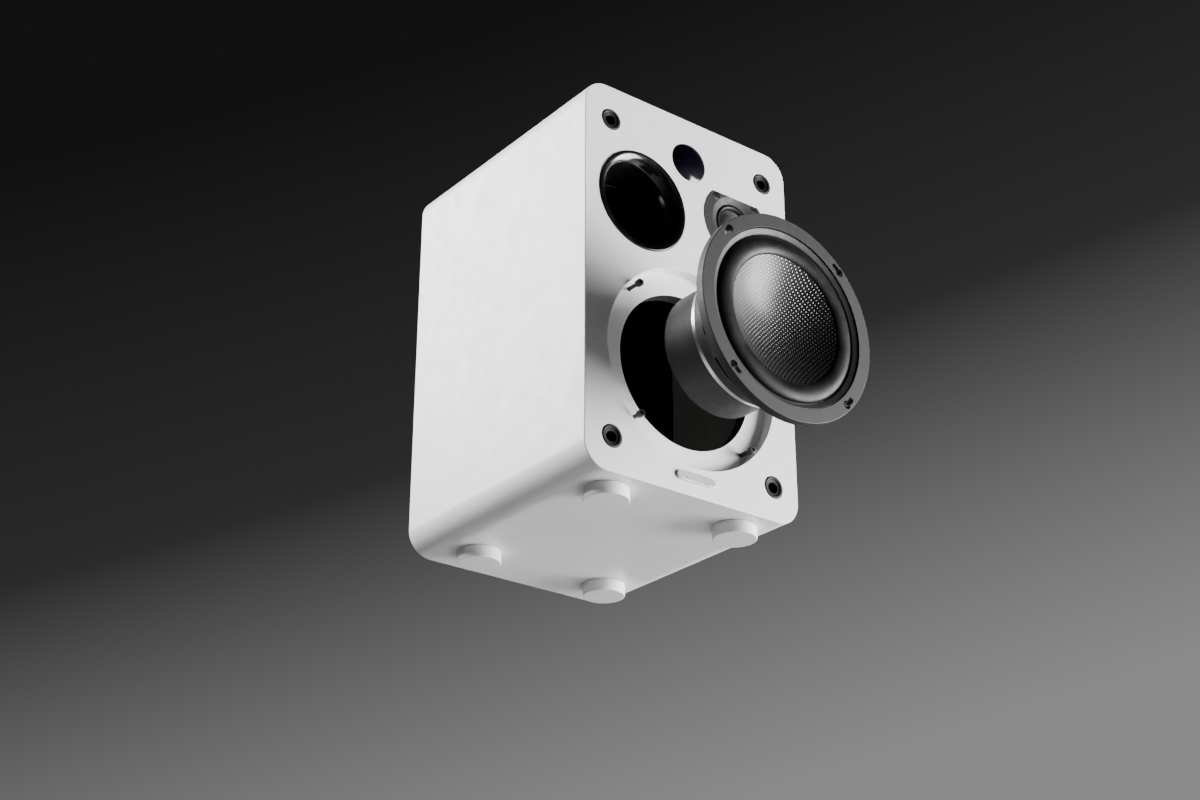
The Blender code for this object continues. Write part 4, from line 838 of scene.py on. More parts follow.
def buildFeet():
    for name in ("foot_front_left", "foot_front_right", "foot_rear_left", "foot_rear_right"):
        low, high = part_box(name)
        height = (high.z - low.z) / mm
        corners = [
            (0, 0), (foot["radius"], 0, foot["edge"]), (foot["radius"], height, foot["topEdge"]), (0, height),
        ]
        piece = lathe(name + "_disc", corners, "footWhite", (0, 0, 0), 96)
        piece.data.transform(Matrix.Rotation(math.radians(90), 4, "X"))
        piece.location = ((low.x + high.x) / 2, (low.y + high.y) / 2, low.z)
        settle(piece, "cabinet", "white_foot", name)


buildCabinet()
buildFeet()
print("cabinet and feet built")

# port, lens, sockets, nameplate

portShape = {
    "throat": 25, "mouth": 36.7, "lip": 37.9, "neck": 33.4, "flareStart": 26, "flareRun": 26.8,
    "sweep": 20, "tube": (27.5, 30.3, 108.3),  # outside, front and back of the tube
}


def buildPort():
    at = levelWith("port_flare")
    throat, lip, neck = portShape["throat"], portShape["lip"], portShape["neck"]
    corners = []
    for k in range(portShape["sweep"] + 1):
        turn = math.pi / 2 * k / portShape["sweep"]
        radius = throat + (portShape["mouth"] - throat) * (1 - math.cos(turn))
        corners.append((radius, portShape["flareStart"] - portShape["flareRun"] * math.sin(turn)))
    corners += [
        (lip - 0.35, -0.72, 0.3), (lip, -0.1, 0.3), (lip, 1.6, 0.2), (neck, 1.6), (neck, 12, 0.3),
        (28.5, 22, 1.5), (28.5, 29.9, 0.3), (throat, 29.9, 0.3),
    ]
    settle(lathe("portMouth", corners, "portGloss", at, 160), "cabinet", "black_gloss", "port_flare")
    outside, near, far = portShape["tube"]
    tube = [(throat, near, 0.3), (outside, near, 0.3), (outside, far, 0.8), (throat, far, 0.8)]
    settle(lathe("portPipe", tube, "tubeBlack", at, 96), "cabinet", "black_matte", "port_tube")


lensShape = {"radius": 14.4, "crown": 2.4, "steps": 12}


def buildLens():
    radius, crown, steps = lensShape["radius"], lensShape["crown"], lensShape["steps"]
    ball = (radius ** 2 + crown ** 2) / (2 * crown)
    corners = []
    for k in range(steps + 1):
        r = radius * k / steps
        corners.append((r, 0.2 - crown + ball - math.sqrt(ball ** 2 - r ** 2)))
    corners += [(14.8, 0.45, 0.2), (14.8, 4, 0.3), (0, 4)]
    window = lathe("sensorWindow", corners, "lens", levelWith("sensor_lens"), 128)
    settle(window, "cabinet", "violet_lens", "sensor_lens")


def buildSockets():
    # rubber cups for the grille's pegs: turned-over lip and lead-in
    corners = [
        (0, 13.3), (0, 11.8), (3.6, 11.8), (3.6, 1.5, 0.5), (4.3, 0.75, 0.5), (5.7, 0.6, 0.4),
        (6.3, -0.15, 0.5), (7.2, -0.28, 0.5), (7.95, 0.1, 0.3), (8, 0.5), (8, 13.3, 0.5),
    ]
    for n in range(1, 5):
        cup = lathe(f"grillePegCup{n}", corners, "socket", levelWith(f"grille_socket_{n}"), 64)
        settle(cup, "cabinet", "black_rubber", f"grille_socket_{n}")


def buildNameplate():
    outline = roundedRectangle(33, 6.4, 3.1, 10)
    layers = [(-0.3, 0.15), (-0.36, 0), (-1.45, 0), (-1.62, 0.08), (-1.7, 0.28)]
    plate = stack("nameBar", outline, layers, "nameplate", levelWith("nameplate"))
    settle(plate, "cabinet", "silver", "nameplate")


buildPort()
buildLens()
buildSockets()
buildNameplate()
print("port, lens, sockets and nameplate built")

# screws


def threaded(name, profile, place, finish, shank, pitch, depth, threadFrom, threadTo, around=24):
    # a turned screw whose shank carries a real helix between two depths
    points = rounded(profile)
    fine = []
    for one, two in zip(points, points[1:]):
        long = abs(two.y - one.y) > 2 and one.x > 0.5 and min(one.y, two.y) > threadFrom - 3
        steps = math.ceil(abs(two.y - one.y) / (pitch / 8)) if long else 1
        fine += [one.lerp(two, k / steps) for k in range(steps)]
    fine.append(points[-1])

    def radiusAt(point, turn):
        if point.x < shank + 0.05 and threadFrom < point.y < threadTo:
            phase = (point.y / pitch + turn / (2 * math.pi)) % 1
            return point.x - depth * abs(2 * phase - 1)
        return point.x

    shape = bmesh.new()
    rings = [ringOf(shape, around, point.y, lambda turn: radiusAt(point, turn)) for point in fine]
    skinned(shape, rings, capped=False)
    return addPiece(name, finishedMesh(shape, name, 40), finish, place)


capScrew = {
    "profile": [
        (0, -4.7), (2.6, -4.7, 0.35), (2.6, -1.1, 0.25), (1.5, -1.1, 0.2), (1.5, 15.6), (0.9, 16.3),
        (0, 16.3),
    ],
    "shank": 1.5, "pitch": 0.8, "threadDepth": 0.22, "thread": (1.2, 15.4), "key": (1.5, -6, -2.5),
}


def buildWooferScrews():
    across, near, far = capScrew["key"]
    for n in range(1, 5):
        at = levelWith(f"woofer_screw_{n}")
        screw = threaded(
            f"capScrew{n}", capScrew["profile"], at, "screw", capScrew["shank"], capScrew["pitch"],
            capScrew["threadDepth"], *capScrew["thread"], 32,
        )
        hexKey = [(0, near), (across, near), (across, far), (0, far + 0.5)]
        carve(screw, lathe(f"key{n}", hexKey, None, at, 6), sharp=40)
        settle(screw, "cabinet", "black_screw", f"woofer_screw_{n}")


buildWooferScrews()
print("cap screws built")

# tweeter


tweeterShape = {
    "plate": (30, 21.3),  # radius and flat top
    "mouth": [
        (0, -1), (22.9, -1), (22.3, -0.01), (21.2, 0.55), (19.6, 1.15), (18.1, 1.7), (16.9, 2.1), (16.9, 4),
        (0, 4),
    ],
    "sink": [(0, -1), (3.25, -1), (3.12, 0.15), (3.05, 1.6), (1.6, 1.6), (1.6, 4), (0, 4)],
    "screw": [(0, 0.2), (2.8, 0.35, 0.5), (2.8, 1.5, 0.1), (1.3, 1.5), (1.3, 11.2), (0.3, 13), (0, 13)],
}


def buildTweeter():
    at = levelWith("tweeter_dome")
    screws = {f"tweeter_screw_{n}": levelWith(f"tweeter_screw_{n}") for n in range(1, 5)}
    layers = [(3, 0), (0.35, 0), (0.12, 0.08), (0, 0.32)]
    plate = stack("tweeterPlate", flatToppedDisc(*tweeterShape["plate"], 144), layers, "facePlate", at)
    carve(plate, lathe("hornMouth", tweeterShape["mouth"], None, at, 128))
    sinks = [lathe("sink", tweeterShape["sink"], None, where, 40) for where in screws.values()]
    carve(plate, joined("plateHoles", *sinks))
    settle(plate, "cabinet", "flange_grey", "tweeter_faceplate")
    for n, (node, where) in enumerate(screws.items(), 1):
        head = threaded(
            f"plateScrew{n}", tweeterShape["screw"], where, "screw", 1.3, 1.0, 0.22, 1.9, 11.0, 24
        )
        crossSlots(head, where, 1.7, 0.35, -1, 1.15)
        settle(head, "cabinet", "black_screw", node)
    buildDome(at)


domeShape = {"radius": 13.2, "front": -1.0, "height": 5.5, "skin": 0.25}


def buildDome(at):
    radius, height, skin = domeShape["radius"], domeShape["height"], domeShape["skin"]
    ball = (radius ** 2 + height ** 2) / (2 * height)
    base = domeShape["front"] + height
    outer, inner = [], []
    for k in range(25):
        r = radius * k / 24
        outer.append((r, base - math.sqrt(ball ** 2 - r ** 2) + ball - height))
        inner.append((max(r - skin * r / ball, 0), outer[-1][1] + skin))
    corners = outer + [(radius, base + 0.3), (radius - skin, base + 0.3)] + inner[-2::-1]
    settle(lathe("domeCap", corners, "dome", at, 128), "tweeter_diaphragm", "silver", "tweeter_dome")
    roll, under = [], []
    for edge, tube, lift in ((roll, 1.42, 3.1), (under, 1.15, 3.4)):
        edge.append((16.6, lift))
        for k in range(13):
            turn = math.pi * k / 12
            edge.append((15.08 + tube * math.cos(turn), lift - tube * math.sin(turn) * 0.95))
        edge.append((13.55, lift))
    ring = lathe("domeRoll", roll + under[::-1], "surround", at, 128)
    settle(ring, "cabinet", "black_rubber", "tweeter_surround")


buildTweeter()
print("tweeter built")

# woofer frame and its ring

wooferCentre = middle("woofer_frame")
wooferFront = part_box("woofer_frame")[0].y


def behind(s, x=0.0, z=0.0):
    return Vector((wooferCentre.x + x, wooferFront + s, wooferCentre.z + z))


basket = {
    "section": [
        (63, 0, 0.2), (72.8, 0, 0.55), (72.8, 6.2, 0.5), (55.5, 6.2, 1.2), (55.5, 11, 1.0), (49.6, 29, 1.5),
        (49.6, 36, 0.5), (30, 36, 0.4), (30, 33.4, 0.4), (43.4, 33.4, 0.8), (43.4, 30.2, 0.3),
        (47.4, 30.2, 0.3), (47.4, 29, 0.3), (53.3, 11, 1.0), (53.3, 5, 0.3), (63, 5, 0.3),
    ],
    "windows": 6, "windowSpan": 41.5, "firstLeg": 28.2,
    "screwCircle": 68.6, "firstScrew": 45, "slotTurn": 5, "slotHalf": 1.8,
    "entry": [(0, -1), (3.15, -1), (3.0, 0.02), (2.9, 0.3), (2.9, 5.9), (3.1, 7), (0, 7)],
}


def sector(name, inner, outer, near, far, start, span, steps=24):
    # a cutter that follows the woofer's axis over part of a turn, in degrees
    shape = bmesh.new()
    rings = []
    for k in range(steps + 1):
        turn = math.radians(start + span * k / steps)
        rings.append([
            shape.verts.new((r * mm * math.cos(turn), s * mm, r * mm * math.sin(turn)))
            for r, s in ((inner, near), (outer, near), (outer, far), (inner, far))
        ])
    skinned(shape, rings)
    return addPiece(name, finishedMesh(shape, name), None, behind(0))


def onScrewCircle(degrees):
    turn, r = math.radians(degrees), basket["screwCircle"] * mm
    return behind(0, r * math.cos(turn), r * math.sin(turn))


def buildFrame():
    frame = lathe("basket", basket["section"], "basket", behind(0), 192)
    count, span = basket["windows"], basket["windowSpan"]
    step = 360 / count
    first = basket["firstLeg"] + (step - span) / 2
    windows = [sector("window", 44.5, 60, 11.2, 28.8, first + step * k, span) for k in range(count)]
    carve(frame, joined("windows", *windows))
    r, half, lock = basket["screwCircle"], basket["slotHalf"], basket["slotTurn"]
    screws = [basket["firstScrew"] + 90 * k for k in range(4)]
    for cutters in (
        [lathe("entry", basket["entry"], None, onScrewCircle(turn), 48) for turn in screws],
        [sector("slot", r - half, r + half, -1, 7, turn, lock, 10) for turn in screws],
        [rod("slotEnd", half, -1, 7, onScrewCircle(turn + lock), 40) for turn in screws],
    ):
        carve(frame, joined("keyholes", *cutters))
    flangeLitBasketShaded(frame)
    return settle(frame, "woofer", "dark_grey", "woofer_frame")


def flangeLitBasketShaded(frame):
    # painted light and shade: the flange ring is coloured lighter than the rest of the same casting behind it
    frame.data.materials.append(finishes["flange"])
    for polygon in frame.data.polygons:
        out = math.hypot(polygon.center.x, polygon.center.z)
        if out > 60 * mm and polygon.center.y < 6.4 * mm:
            polygon.material_index = 1


def buildTrim():
    trim = [
        (59.4, 2.4, 0.2), (62.3, 1.05, 0.25), (62.7, 1.2, 0.15), (62.7, 3.8, 0.2), (58.8, 3.8, 0.2),
        (58.8, 3.0, 0.15),
    ]
    settle(lathe("trimRing", trim, "trim", behind(0), 192), "woofer", "dark_grey", "woofer_trim_ring")
    ring = [(57.2, 6.5, 0.3), (64.5, 6.5, 0.3), (64.5, 8, 0.3), (57.2, 8, 0.3)]
    at = Vector((wooferCentre.x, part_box("woofer_gasket")[0].y - ring[0][1] * mm, wooferCentre.z))
    settle(lathe("gasketRing", ring, "gasket", at, 128), "gasket", "black_rubber", "woofer_gasket")


buildFrame()
buildTrim()
print("woofer frame and trim built")

# cone, surround, spider

coneShape = {"radius": 44.8, "rim": 2.8, "deep": 17, "skin": 1.0, "rings": 40}


def coneDepth(r):
    return coneShape["rim"] + coneShape["deep"] * (1 - (r / coneShape["radius"]) ** 2)


def buildCone():
    radius, skin, rings = coneShape["radius"], coneShape["skin"], coneShape["rings"]
    radii = [radius * k / rings for k in range(rings + 1)]
    face = [(r, coneDepth(r)) for r in radii]
    back = [(r, coneDepth(r) + skin) for r in reversed(radii)]
    settle(lathe("wovenBowl", face + back, "cone", behind(0), 160), "cone", "woven_fibre", "woofer_cone")
    former = [
        (16, 19.3), (16.4, 19.3), (16.4, 31.1), (17.15, 31.3, 0.2), (17.15, 41.1, 0.2), (16.4, 41.3),
        (16.4, 42.2), (16, 42.2),
    ]
    settle(lathe("coilFormer", former, "copper", behind(0), 96), "cone", "copper", "voice_coil")


surroundShape = {
    "outer": 62.4, "inner": 43, "lip": 4.1, "middle": 51.3, "half": 6.0, "rise": 3.5, "skin": 0.6,
    "sectors": 24, "held": 57.8, "moving": 44.6,
}
spiderShape = {
    "outer": 47.1, "inner": 16.7, "depth": 29.0, "skin": 0.5, "waves": 3, "swing": 1.0, "steps": 36,
    "sectors": 12, "held": 43.5, "moving": 17.5,
}


def rollSection(offset):
    # from the outer lip over the half roll to the inner lip
    half, rise, centre = surroundShape["half"], surroundShape["rise"], surroundShape["middle"]
    inner, lip = surroundShape["inner"], surroundShape["lip"] + offset
    points = [(surroundShape["outer"], lip), (centre + half + 1.2, lip)]
    for k in range(17):
        turn = math.pi * k / 16
        r = centre + (half + 0.5 - offset * 0.8) * math.cos(turn)
        points.append((r, lip - rise * math.sin(turn) ** 0.85))
    points.append((coneShape["radius"], lip))
    points.append((inner, coneDepth(inner) + coneShape["skin"] + 0.4 + offset))
    return points


def spiderSection(offset):
    # ripples that die away at both edges
    inner, outer, steps = spiderShape["inner"], spiderShape["outer"], spiderShape["steps"]
    points = []
    for k in range(steps + 1):
        r = outer + (inner - outer) * k / steps
        phase = math.pi * 2 * spiderShape["waves"] * (r - inner) / (outer - inner)
        edge = min(1, 4 * min(k, steps - k) / steps)
        points.append((r, spiderShape["depth"] + offset + spiderShape["swing"] * math.sin(phase) * edge))
    return points


def ringSectors(name, shapeOf, sectionOf, finish, node, fine):
    # a flexible ring in radial sectors, each reaching inward from its outer edge to its inner edge
    centre, count = behind(0), shapeOf["sectors"]
    section = sectionOf(0) + sectionOf(shapeOf["skin"])[::-1]
    rows = []
    for k in range(len(section)):
        before, after = Vector(section[k - 1]), Vector(section[(k + 1) % len(section)])
        along = (after - before).normalized()
        rows.append((along.y, -along.x))
    for n in range(count):
        shape = bmesh.new()
        rings = []
        for k in range(fine + 1):
            turn = 2 * math.pi * (n + k / fine) / count
            rings.append([
                shape.verts.new(centre + Vector((r * mm * math.cos(turn), s * mm, r * mm * math.sin(turn))))
                for r, s in section
            ])
        skinned(shape, rings, capped=False)
        mesh = bpy.data.meshes.new(f"{name}{n + 1:02d}")
        bmesh.ops.recalc_face_normals(shape, faces=shape.faces)
        shape.to_mesh(mesh)
        shape.free()
        mesh.shade_smooth()
        smoothAcross(mesh, centre, section, rows)
        piece = addPiece(f"{name}{n + 1:02d}", mesh, finish)
        turn = 2 * math.pi * (n + 0.5) / count
        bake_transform(piece)
        if n == 0:
            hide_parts(node)


def smoothAcross(mesh, centre, section, rows):
    # normals worked out from the section, so the joins between sectors don't show
    normals = []
    for vert in mesh.vertices:
        out = Vector((vert.co.x - centre.x, 0, vert.co.z - centre.z))
        r, s = out.length / mm, (vert.co.y - centre.y) / mm
        k = min(range(len(section)), key=lambda i: (section[i][0] - r) ** 2 + (section[i][1] - s) ** 2)
        normals.append((out.normalized() * rows[k][0] + Vector((0, rows[k][1], 0))).normalized())
    facing = 0
    for polygon in mesh.polygons:
        facing += sum(polygon.normal.dot(normals[v]) for v in polygon.vertices)
    if facing < 0:
        normals = [-normal for normal in normals]
    mesh.normals_split_custom_set_from_vertices(normals)


def buildSuspension():
    ringSectors(
        "rollSector", surroundShape, rollSection, "surround", "woofer_surround", 6
    )
    ringSectors("spiderSector", spiderShape, spiderSection, "spider", "spider", 8)


buildCone()
buildSuspension()
print("cone, surround and spider built")

# motor


motorPieces = [  # name, finish, slot, node, points round, section
    ("topPlate", "brightRim", "zinc_steel", "woofer_front_plate", 160,
     [(18, 36.3, 0.3), (48.5, 36.3, 0.4), (48.5, 39.9, 0.4), (18, 39.9, 0.3)]),
    ("magnetRing", "ferrite", "ferrite", "woofer_magnet", 96,
     [(24, 40.2, 0.6), (42, 40.2, 0.8), (42, 55.2, 0.8), (24, 55.2, 0.6)]),
    ("backPole", "brightRim", "zinc_steel", "woofer_back_plate", 96,
     [(0, 60.5), (0, 37), (15.2, 37, 0.6), (15.2, 55.5), (42, 55.5, 0.8), (42, 60.5, 0.8)]),
    ("backMagnet", "ferrite", "ferrite", "bucking_magnet", 96,
     [(8, 60.8, 0.6), (38, 60.8, 0.8), (38, 69.8, 0.8), (8, 69.8, 0.6)]),
    ("magnetCan", "boot", "black_matte", "magnet_boot", 160,
     [(42.9, 40.2, 0.4), (44.5, 40.2, 0.5), (44.5, 73.4, 2.6), (0, 73.4), (0, 71.8), (42.9, 71.8, 1.6)]),
]


def buildMotor():
    for name, finish, slotName, node, around, section in motorPieces:
        settle(lathe(name, section, finish, behind(0), around), "woofer", slotName, node)


buildMotor()
print("motor built")

# inside: brace, back wall, wadding, boards, transformer, terminals


def dressed(node, *pairs):
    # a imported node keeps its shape: softened edges and its own finishes by slot
    shown = nodes[node]
    shown.data.materials.clear()
    for pair in pairs:
        shown.data.materials.append(finishes[pair])
    soften = shown.modifiers.new("softEdge", "BEVEL")
    soften.width = 0.25 * mm
    soften.segments = 2
    soften.limit_method = "ANGLE"
    soften.angle_limit = math.radians(40)
    soften.harden_normals = False
    return shown


def frameBlock(name, width, height, corner, opening, layers, finish, at):
    # a plate with rounded corners and a square opening through it
    plate = stack(name, roundedRectangle(width, height, corner, 10), layers, finish, at)
    low, high = opening
    window = block(name + "Window", low, high, 0, None)
    window.location += at
    return carve(plate, window)


def buildInside():
    # painted shade: the brace is coloured black for the dark inside the box
    brace = frameBlock(
        "innerBrace", 160.4, 268.4, 6.2, ((-62.5, 110, -116.5), (62.5, 140, 116.5)),
        edged(120, 130, 0.4), "insideShadeBlack", levelWith("inner_brace"),
    )
    settle(brace, "cabinet", "fibreboard", "inner_brace")
    back = frameBlock(
        "backWall", 160.4, 268.4, 6.2, ((-60, 180, -103.5), (60, 220, 102.5)),
        edged(193, 205, 0.5), "lacquer", levelWith("rear_panel"),
    )
    # painted shade: the inner faces of the back wall are coloured black for the dark inside the box
    back.data.materials.append(finishes["insideShadeBlack"])
    for polygon in back.data.polygons:
        if polygon.center.y < 204 * mm:
            polygon.material_index = 1
    settle(back, "cabinet", "white_lacquer", "rear_panel")


padShape = {"across": 46, "up": 96, "tacksAcross": 2, "tacksUp": 5, "fill": 0.5}


def buildWadding():
    # a quilted pad on each side wall: plump between its tacks, ragged at the rim
    across, up = padShape["across"], padShape["up"]
    for name in ("wadding_left", "wadding_right"):
        low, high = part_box(name)
        deep = high.x - low.x
        outward = -1 if low.x < 0 else 1
        shape = bmesh.new()
        faces = []
        for side in (0, 1):
            grid = []
            for i in range(across + 1):
                row = []
                for j in range(up + 1):
                    u, v = i / across, j / up
                    y = low.y + (high.y - low.y) * (0.015 + 0.97 * u)
                    z = low.z + (high.z - low.z) * (0.008 + 0.984 * v)
                    rim = min(1, 9 * min(u, 1 - u)) * min(1, 16 * min(v, 1 - v))
                    lump = 0.5 + 0.5 * noise.fractal(Vector((y * 60, z * 60, 3 + low.x * 90)), 1, 2.2, 4)
                    puff = math.sin(math.pi * padShape["tacksAcross"] * u)
                    puff *= math.sin(math.pi * padShape["tacksUp"] * v)
                    tuck = 0.72 + 0.28 * abs(puff) ** 0.4
                    thick = deep * (0.08 + 0.88 * min(1, rim ** 0.4 * tuck * (0.86 + 0.14 * lump)))
                    wall = (high.x if outward > 0 else low.x) - outward * deep * 0.01
                    x = wall - outward * (thick if side else 0)
                    wave = 0.0012 * noise.noise(Vector((y * 90, z * 90, 7)))
                    row.append(shape.verts.new((x, y + wave * (1 - rim), z + wave * (1 - rim))))
                grid.append(row)
            faces.append(grid)
        for side, grid in enumerate(faces):
            for i in range(across):
                for j in range(up):
                    quad = (grid[i][j], grid[i + 1][j], grid[i + 1][j + 1], grid[i][j + 1])
                    shape.faces.new(quad if side else quad[::-1])
        rims = [
            [grid[i][0] for i in range(across)] + [grid[across][j] for j in range(up)]
            + [grid[i][up] for i in range(across, 0, -1)] + [grid[0][j] for j in range(up, 0, -1)]
            for grid in faces
        ]
        skinned(shape, rims, capped=False)
        pad = addPiece(name + "Pad", finishedMesh(shape, name + "Pad", 80), "wadding")
        settle(pad, "cabinet", "wadding", name)


boards = {"amplifier_board": (188.6, 190.4), "sensor_board": (21.9, 23.7)}  # depths of the bare board
core = {"plain": 170.9, "half": 15.2, "wound": 171.1}


def depthOf(polygon):
    return (polygon.center.y - front) / mm


def buildBoards():
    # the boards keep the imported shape; faces of the board itself take the board's finish
    for name, (near, far) in boards.items():
        for polygon in dressed(name, "greenBoard", "connector").data.polygons:
            polygon.material_index = 0 if near < depthOf(polygon) < far else 1
    centre = middle("transformer")
    for polygon in dressed("transformer", "steel", "copper").data.polygons:
        depth, aside = depthOf(polygon), abs(polygon.center.x - centre.x) / mm
        wound = depth < core["plain"] or aside < core["half"] and depth < core["wound"]
        polygon.material_index = 1 if wound else 0
    dressed("control_pots", "steel")
    dressed("woofer_terminals", "connector", "brightRim")
    dressed("tweeter_coil", "copper")
    dressed("tweeter_front_plate", "brightRim")
    dressed("tweeter_magnet", "ferrite")
    dressed("tweeter_back_cup", "boot")


buildInside()
buildWadding()
buildBoards()
print("inside fitted")

# amplifier plate and its controls

plate = {
    "width": 140, "height": 226, "corner": 3, "front": 205.3, "back": 207.8, "edge": 0.35,
    "boltAcross": 65, "boltUp": (-108, -36, 36, 108),
    "bolt": [(0, 1.9), (1.6, 1.72, 0.4), (2.9, 0.9, 0.5), (3.1, 0, 0.1), (0, 0)],
    "shaftHole": 3.4, "postHole": 3.2, "jackHole": 4.5, "gap": 0.35, "cut": (200, 215),
}
jack = {
    "across": (-24, -8), "up": (-8, 8),
    "barrel": [
        (0, 212), (1.7, 212), (1.7, 214.9, 0.15), (2.7, 214.9), (2.7, 215.8, 0.15), (3.7, 215.8, 0.3),
        (4.2, 215.2, 0.3), (4.2, 205), (0, 205),
    ],
    "liner": [(1.75, 212.1), (2.65, 212.1), (2.65, 214.95, 0.1), (1.75, 214.95, 0.1)],
    "collar": [(4.5, 207.85), (5.6, 207.85, 0.1), (5.6, 208.5, 0.2), (4.5, 208.5, 0.1)],
}


def jackPlaces():
    base = middle("input_jacks").z
    return [Vector((x * mm, front, base + z * mm)) for x in jack["across"] for z in jack["up"]]


def buildPlate():
    at = levelWith("amplifier_plate")
    sheet = stack(
        "ampPlate", roundedRectangle(plate["width"], plate["height"], plate["corner"], 8),
        edged(plate["front"], plate["back"], plate["edge"]), "plate", at,
    )
    carve(sheet, *plateCuts())
    settle(sheet, "cabinet", "black_plate", "amplifier_plate")
    bolts = [(x, z) for x in (-plate["boltAcross"], plate["boltAcross"]) for z in plate["boltUp"]]
    for n, (x, z) in enumerate(bolts, 1):
        where = at + Vector((x, plate["back"] + 0.05, z)) * mm
        head = lathe(f"plateBolt{n}", plate["bolt"], "screw", where, 40)
        crossSlots(head, where, 1.5, 0.3, 0.9, 4)
        settle(head, "cabinet", "black_screw")


def plateCuts():
    # a square cutter for the inlet and for the switch, a rod for every shaft, jack and post
    near, far = plate["cut"]
    made = []
    for name in ("mains_inlet", "switch_frame"):
        width, tall = bodyBehind(name)
        x, z = width / 2 + plate["gap"], tall / 2 + plate["gap"]
        tool = block(name + "Cut", (-x, near, -z), (x, far, z), 0, None)
        tool.location += levelWith(name)
        made.append(tool)
    holes = [(plate["shaftHole"], levelWith(node + "_knob")) for node in ("volume", "bass", "treble")]
    holes += [(plate["jackHole"], place) for place in jackPlaces()]
    holes += [(plate["postHole"], levelWith("post_cap_" + side)) for side in ("red", "black")]
    return made + [rod("plateHole", radius, near, far, place, 32) for radius, place in holes]


def bodyBehind(name):
    # width and height of the body just behind the flange, from the node's own points
    shown = nodes[name]
    wide, tall = [], []
    for vert in shown.data.vertices:
        if (vert.co.y - front) / mm < 206:
            wide.append(vert.co.x)
            tall.append(vert.co.z)
    return (max(wide) - min(wide)) / mm, (max(tall) - min(tall)) / mm


knob = {
    "layers": [  # depth, inset, depth of the grip
        (208.4, 0.35, 0), (208.7, 0, 0), (209.9, 0, 0), (210.2, 0.45, 0), (210.6, 0.55, 0.32),
        (219.4, 0.75, 0.32), (220.3, 0.9, 0.2), (220.9, 1.2, 0.05), (221.3, 1.75, 0), (221.4, 2.3, 0),
    ],
    "dish": [(0.7, 221.35), (0.62, 221.1), (0.3, 220.95)],  # share of the radius, depth
    "grips": {12: 60, 9: 48},
    "ticks": 11, "tickTurn": 30, "travel": 150, "tickDepth": (207.83, 207.9),
}


def buildKnob(node, radius, body, slotName):
    # a skirted knob: fine grip, dished face, white pointer line in its notch
    at = levelWith(node)
    grips = knob["grips"][radius]
    steps = grips * 6
    shape = bmesh.new()
    rings = [
        ringOf(shape, steps, depth, lambda turn: radius - inset - grip * abs(math.sin(grips * turn / 2)))
        for depth, inset, grip in knob["layers"]
    ]
    rings += [ringOf(shape, steps, depth, lambda turn: radius * share) for share, depth in knob["dish"]]
    skinned(shape, rings)
    turned = addPiece(node + "Turned", finishedMesh(shape, node + "Turned", 36), "knob", at)
    notch = block(node + "Notch", (-0.55, 220.2, radius * 0.35), (0.55, 224, radius + 2), 0, None)
    notch.location += at
    carve(turned, notch, sharp=36)
    settle(turned, body, slotName, node)
    line = block(
        node + "Line", (-0.4, 220.1, radius * 0.38), (0.4, 220.75, radius - 1.9), 0.08, "mark", 2
    )
    line.location += at
    settle(line, body, slotName)
    addScale(node, radius, slotName, at)


def addScale(node, radius, slotName, at):
    # plain marks printed on the plate round a knob, longer at the ends and the middle
    near, far = knob["tickDepth"]
    last = knob["ticks"] - 1
    ticks = []
    for k in range(knob["ticks"]):
        turn = math.radians(90 + knob["travel"] - knob["tickTurn"] * k)
        start = radius + 1.2
        end = start + (2.0 if k in (0, last / 2, last) else 1.2)
        tick = block("tick", (start, near, -0.16), (end, far, 0.16), 0, "mark")
        tick.data.transform(Matrix.Rotation(-turn, 4, "Y") @ Matrix.Translation(tick.location))
        tick.location = at
        ticks.append(tick)
    scale = joined(node + "Scale", *ticks)
    scale.data.materials.append(finishes["mark"])
    settle(scale, "cabinet", slotName)


def buildJacks():
    body = block("jackBody", (-15.5, 199, -15.5), (15.5, 204.9, 15.5), 0.5, "connector")
    body.location += levelWith("input_jacks")
    settle(body, "cabinet", "black_matte", "input_jacks")
    for n, at in enumerate(jackPlaces(), 1):
        colour = "jackRed" if n <= len(jack["up"]) else "jackWhite"
        for name, section, finish, around in (
            ("Barrel", jack["barrel"], "gold", 64), ("Liner", jack["liner"], colour, 48),
            ("Collar", jack["collar"], colour, 48),
        ):
            settle(lathe(f"jack{name}{n}", section, finish, at, around), "cabinet", "black_matte")


postCap = {
    "radius": 5.5, "flutes": 8, "fluteDepth": 0.62, "fluted": (213.8, 224),
    "layers": [
        (211.9, 0.3), (212.2, 0), (213.6, 0), (213.9, 0.3), (223.2, 0.3), (224.2, 0.6), (224.7, 1.1),
        (224.9, 1.8),
    ],
    "bore": [(0, 205), (2.75, 205), (2.75, 222, 0.3), (2.1, 222.6, 0.1), (2.1, 226), (0, 226)],
}


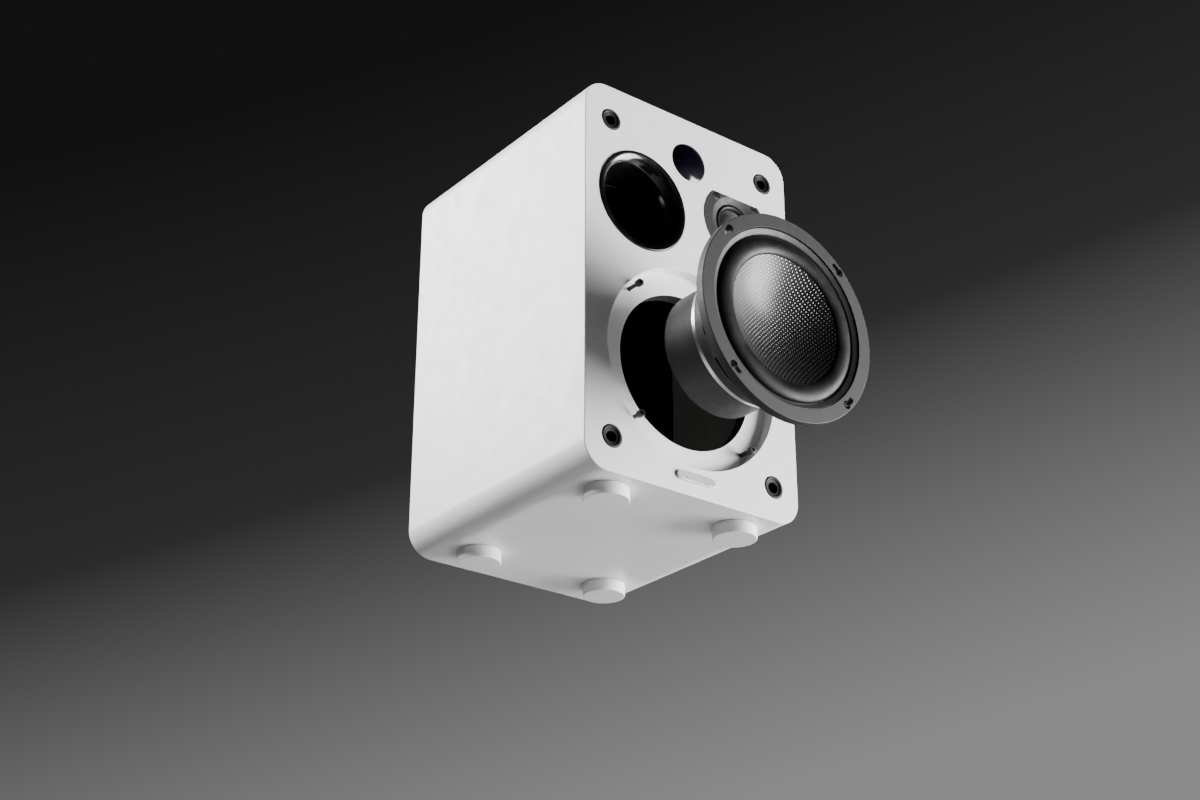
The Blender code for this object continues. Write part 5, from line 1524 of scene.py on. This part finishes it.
def capRadius(depth, inset, turn):
    near, far = postCap["fluted"]
    flute = max(0, math.cos(postCap["flutes"] * turn)) ** 0.6 if near < depth < far else 0
    return postCap["radius"] - inset - postCap["fluteDepth"] * flute


def buildPosts():
    dressed("speaker_posts", "gold")
    for node, finish, body, slotName in (
        ("post_cap_red", "capRed", "red_cap", "red_plastic"),
        ("post_cap_black", "capBlack", "black_cap", "black_matte"),
    ):
        at = levelWith(node)
        shape = bmesh.new()
        skinned(shape, [
            ringOf(shape, 160, depth, lambda turn: capRadius(depth, inset, turn))
            for depth, inset in postCap["layers"]
        ])
        cap = addPiece(node + "Grip", finishedMesh(shape, node + "Grip", 36), finish, at)
        carve(cap, lathe(node + "Bore", postCap["bore"], None, at, 40), sharp=36)
        settle(cap, body, slotName, node)


inletPins = {"aside": 4.3, "reach": 1.25, "depth": (196, 206.5)}


def buildPower():
    centre = middle("mains_inlet")
    near, far = inletPins["depth"]
    for polygon in dressed("mains_inlet", "connector", "brightRim").data.polygons:
        aside, tall = (abs(polygon.center[axis] - centre[axis]) / mm for axis in (0, 2))
        across = abs(aside - inletPins["aside"])
        pin = max(across, tall) < inletPins["reach"] and near < depthOf(polygon) < far
        polygon.material_index = 1 if pin else 0
    dressed("switch_frame", "connector")
    soften = dressed("power_rocker", "rocker").modifiers["softEdge"]
    soften.width = 0.45 * mm
    soften.segments = 3


buildPlate()
buildKnob("volume_knob", 12, "volume", "black_matte")
buildKnob("bass_knob", 9, "bass", "black_matte")
buildKnob("treble_knob", 9, "treble", "black_matte")
buildJacks()
buildPosts()
buildPower()
print("amplifier plate and controls built")

# floor


def addFloor():
    reach, steps = studio["floorReach"], 32
    shape = bmesh.new()
    rows = [
        [
            shape.verts.new((reach * (2 * i / steps - 1), reach * (2 * j / steps - 1), 0))
            for j in range(steps + 1)
        ]
        for i in range(steps + 1)
    ]
    for one, two in zip(rows, rows[1:]):
        for j in range(steps):
            shape.faces.new((one[j], two[j], two[j + 1], one[j + 1]))
    mesh = finishedMesh(shape, "studioFloor")
    addPiece("studioFloor", mesh, "floor", (0, 0, studio["floorHeight"]))


addFloor()
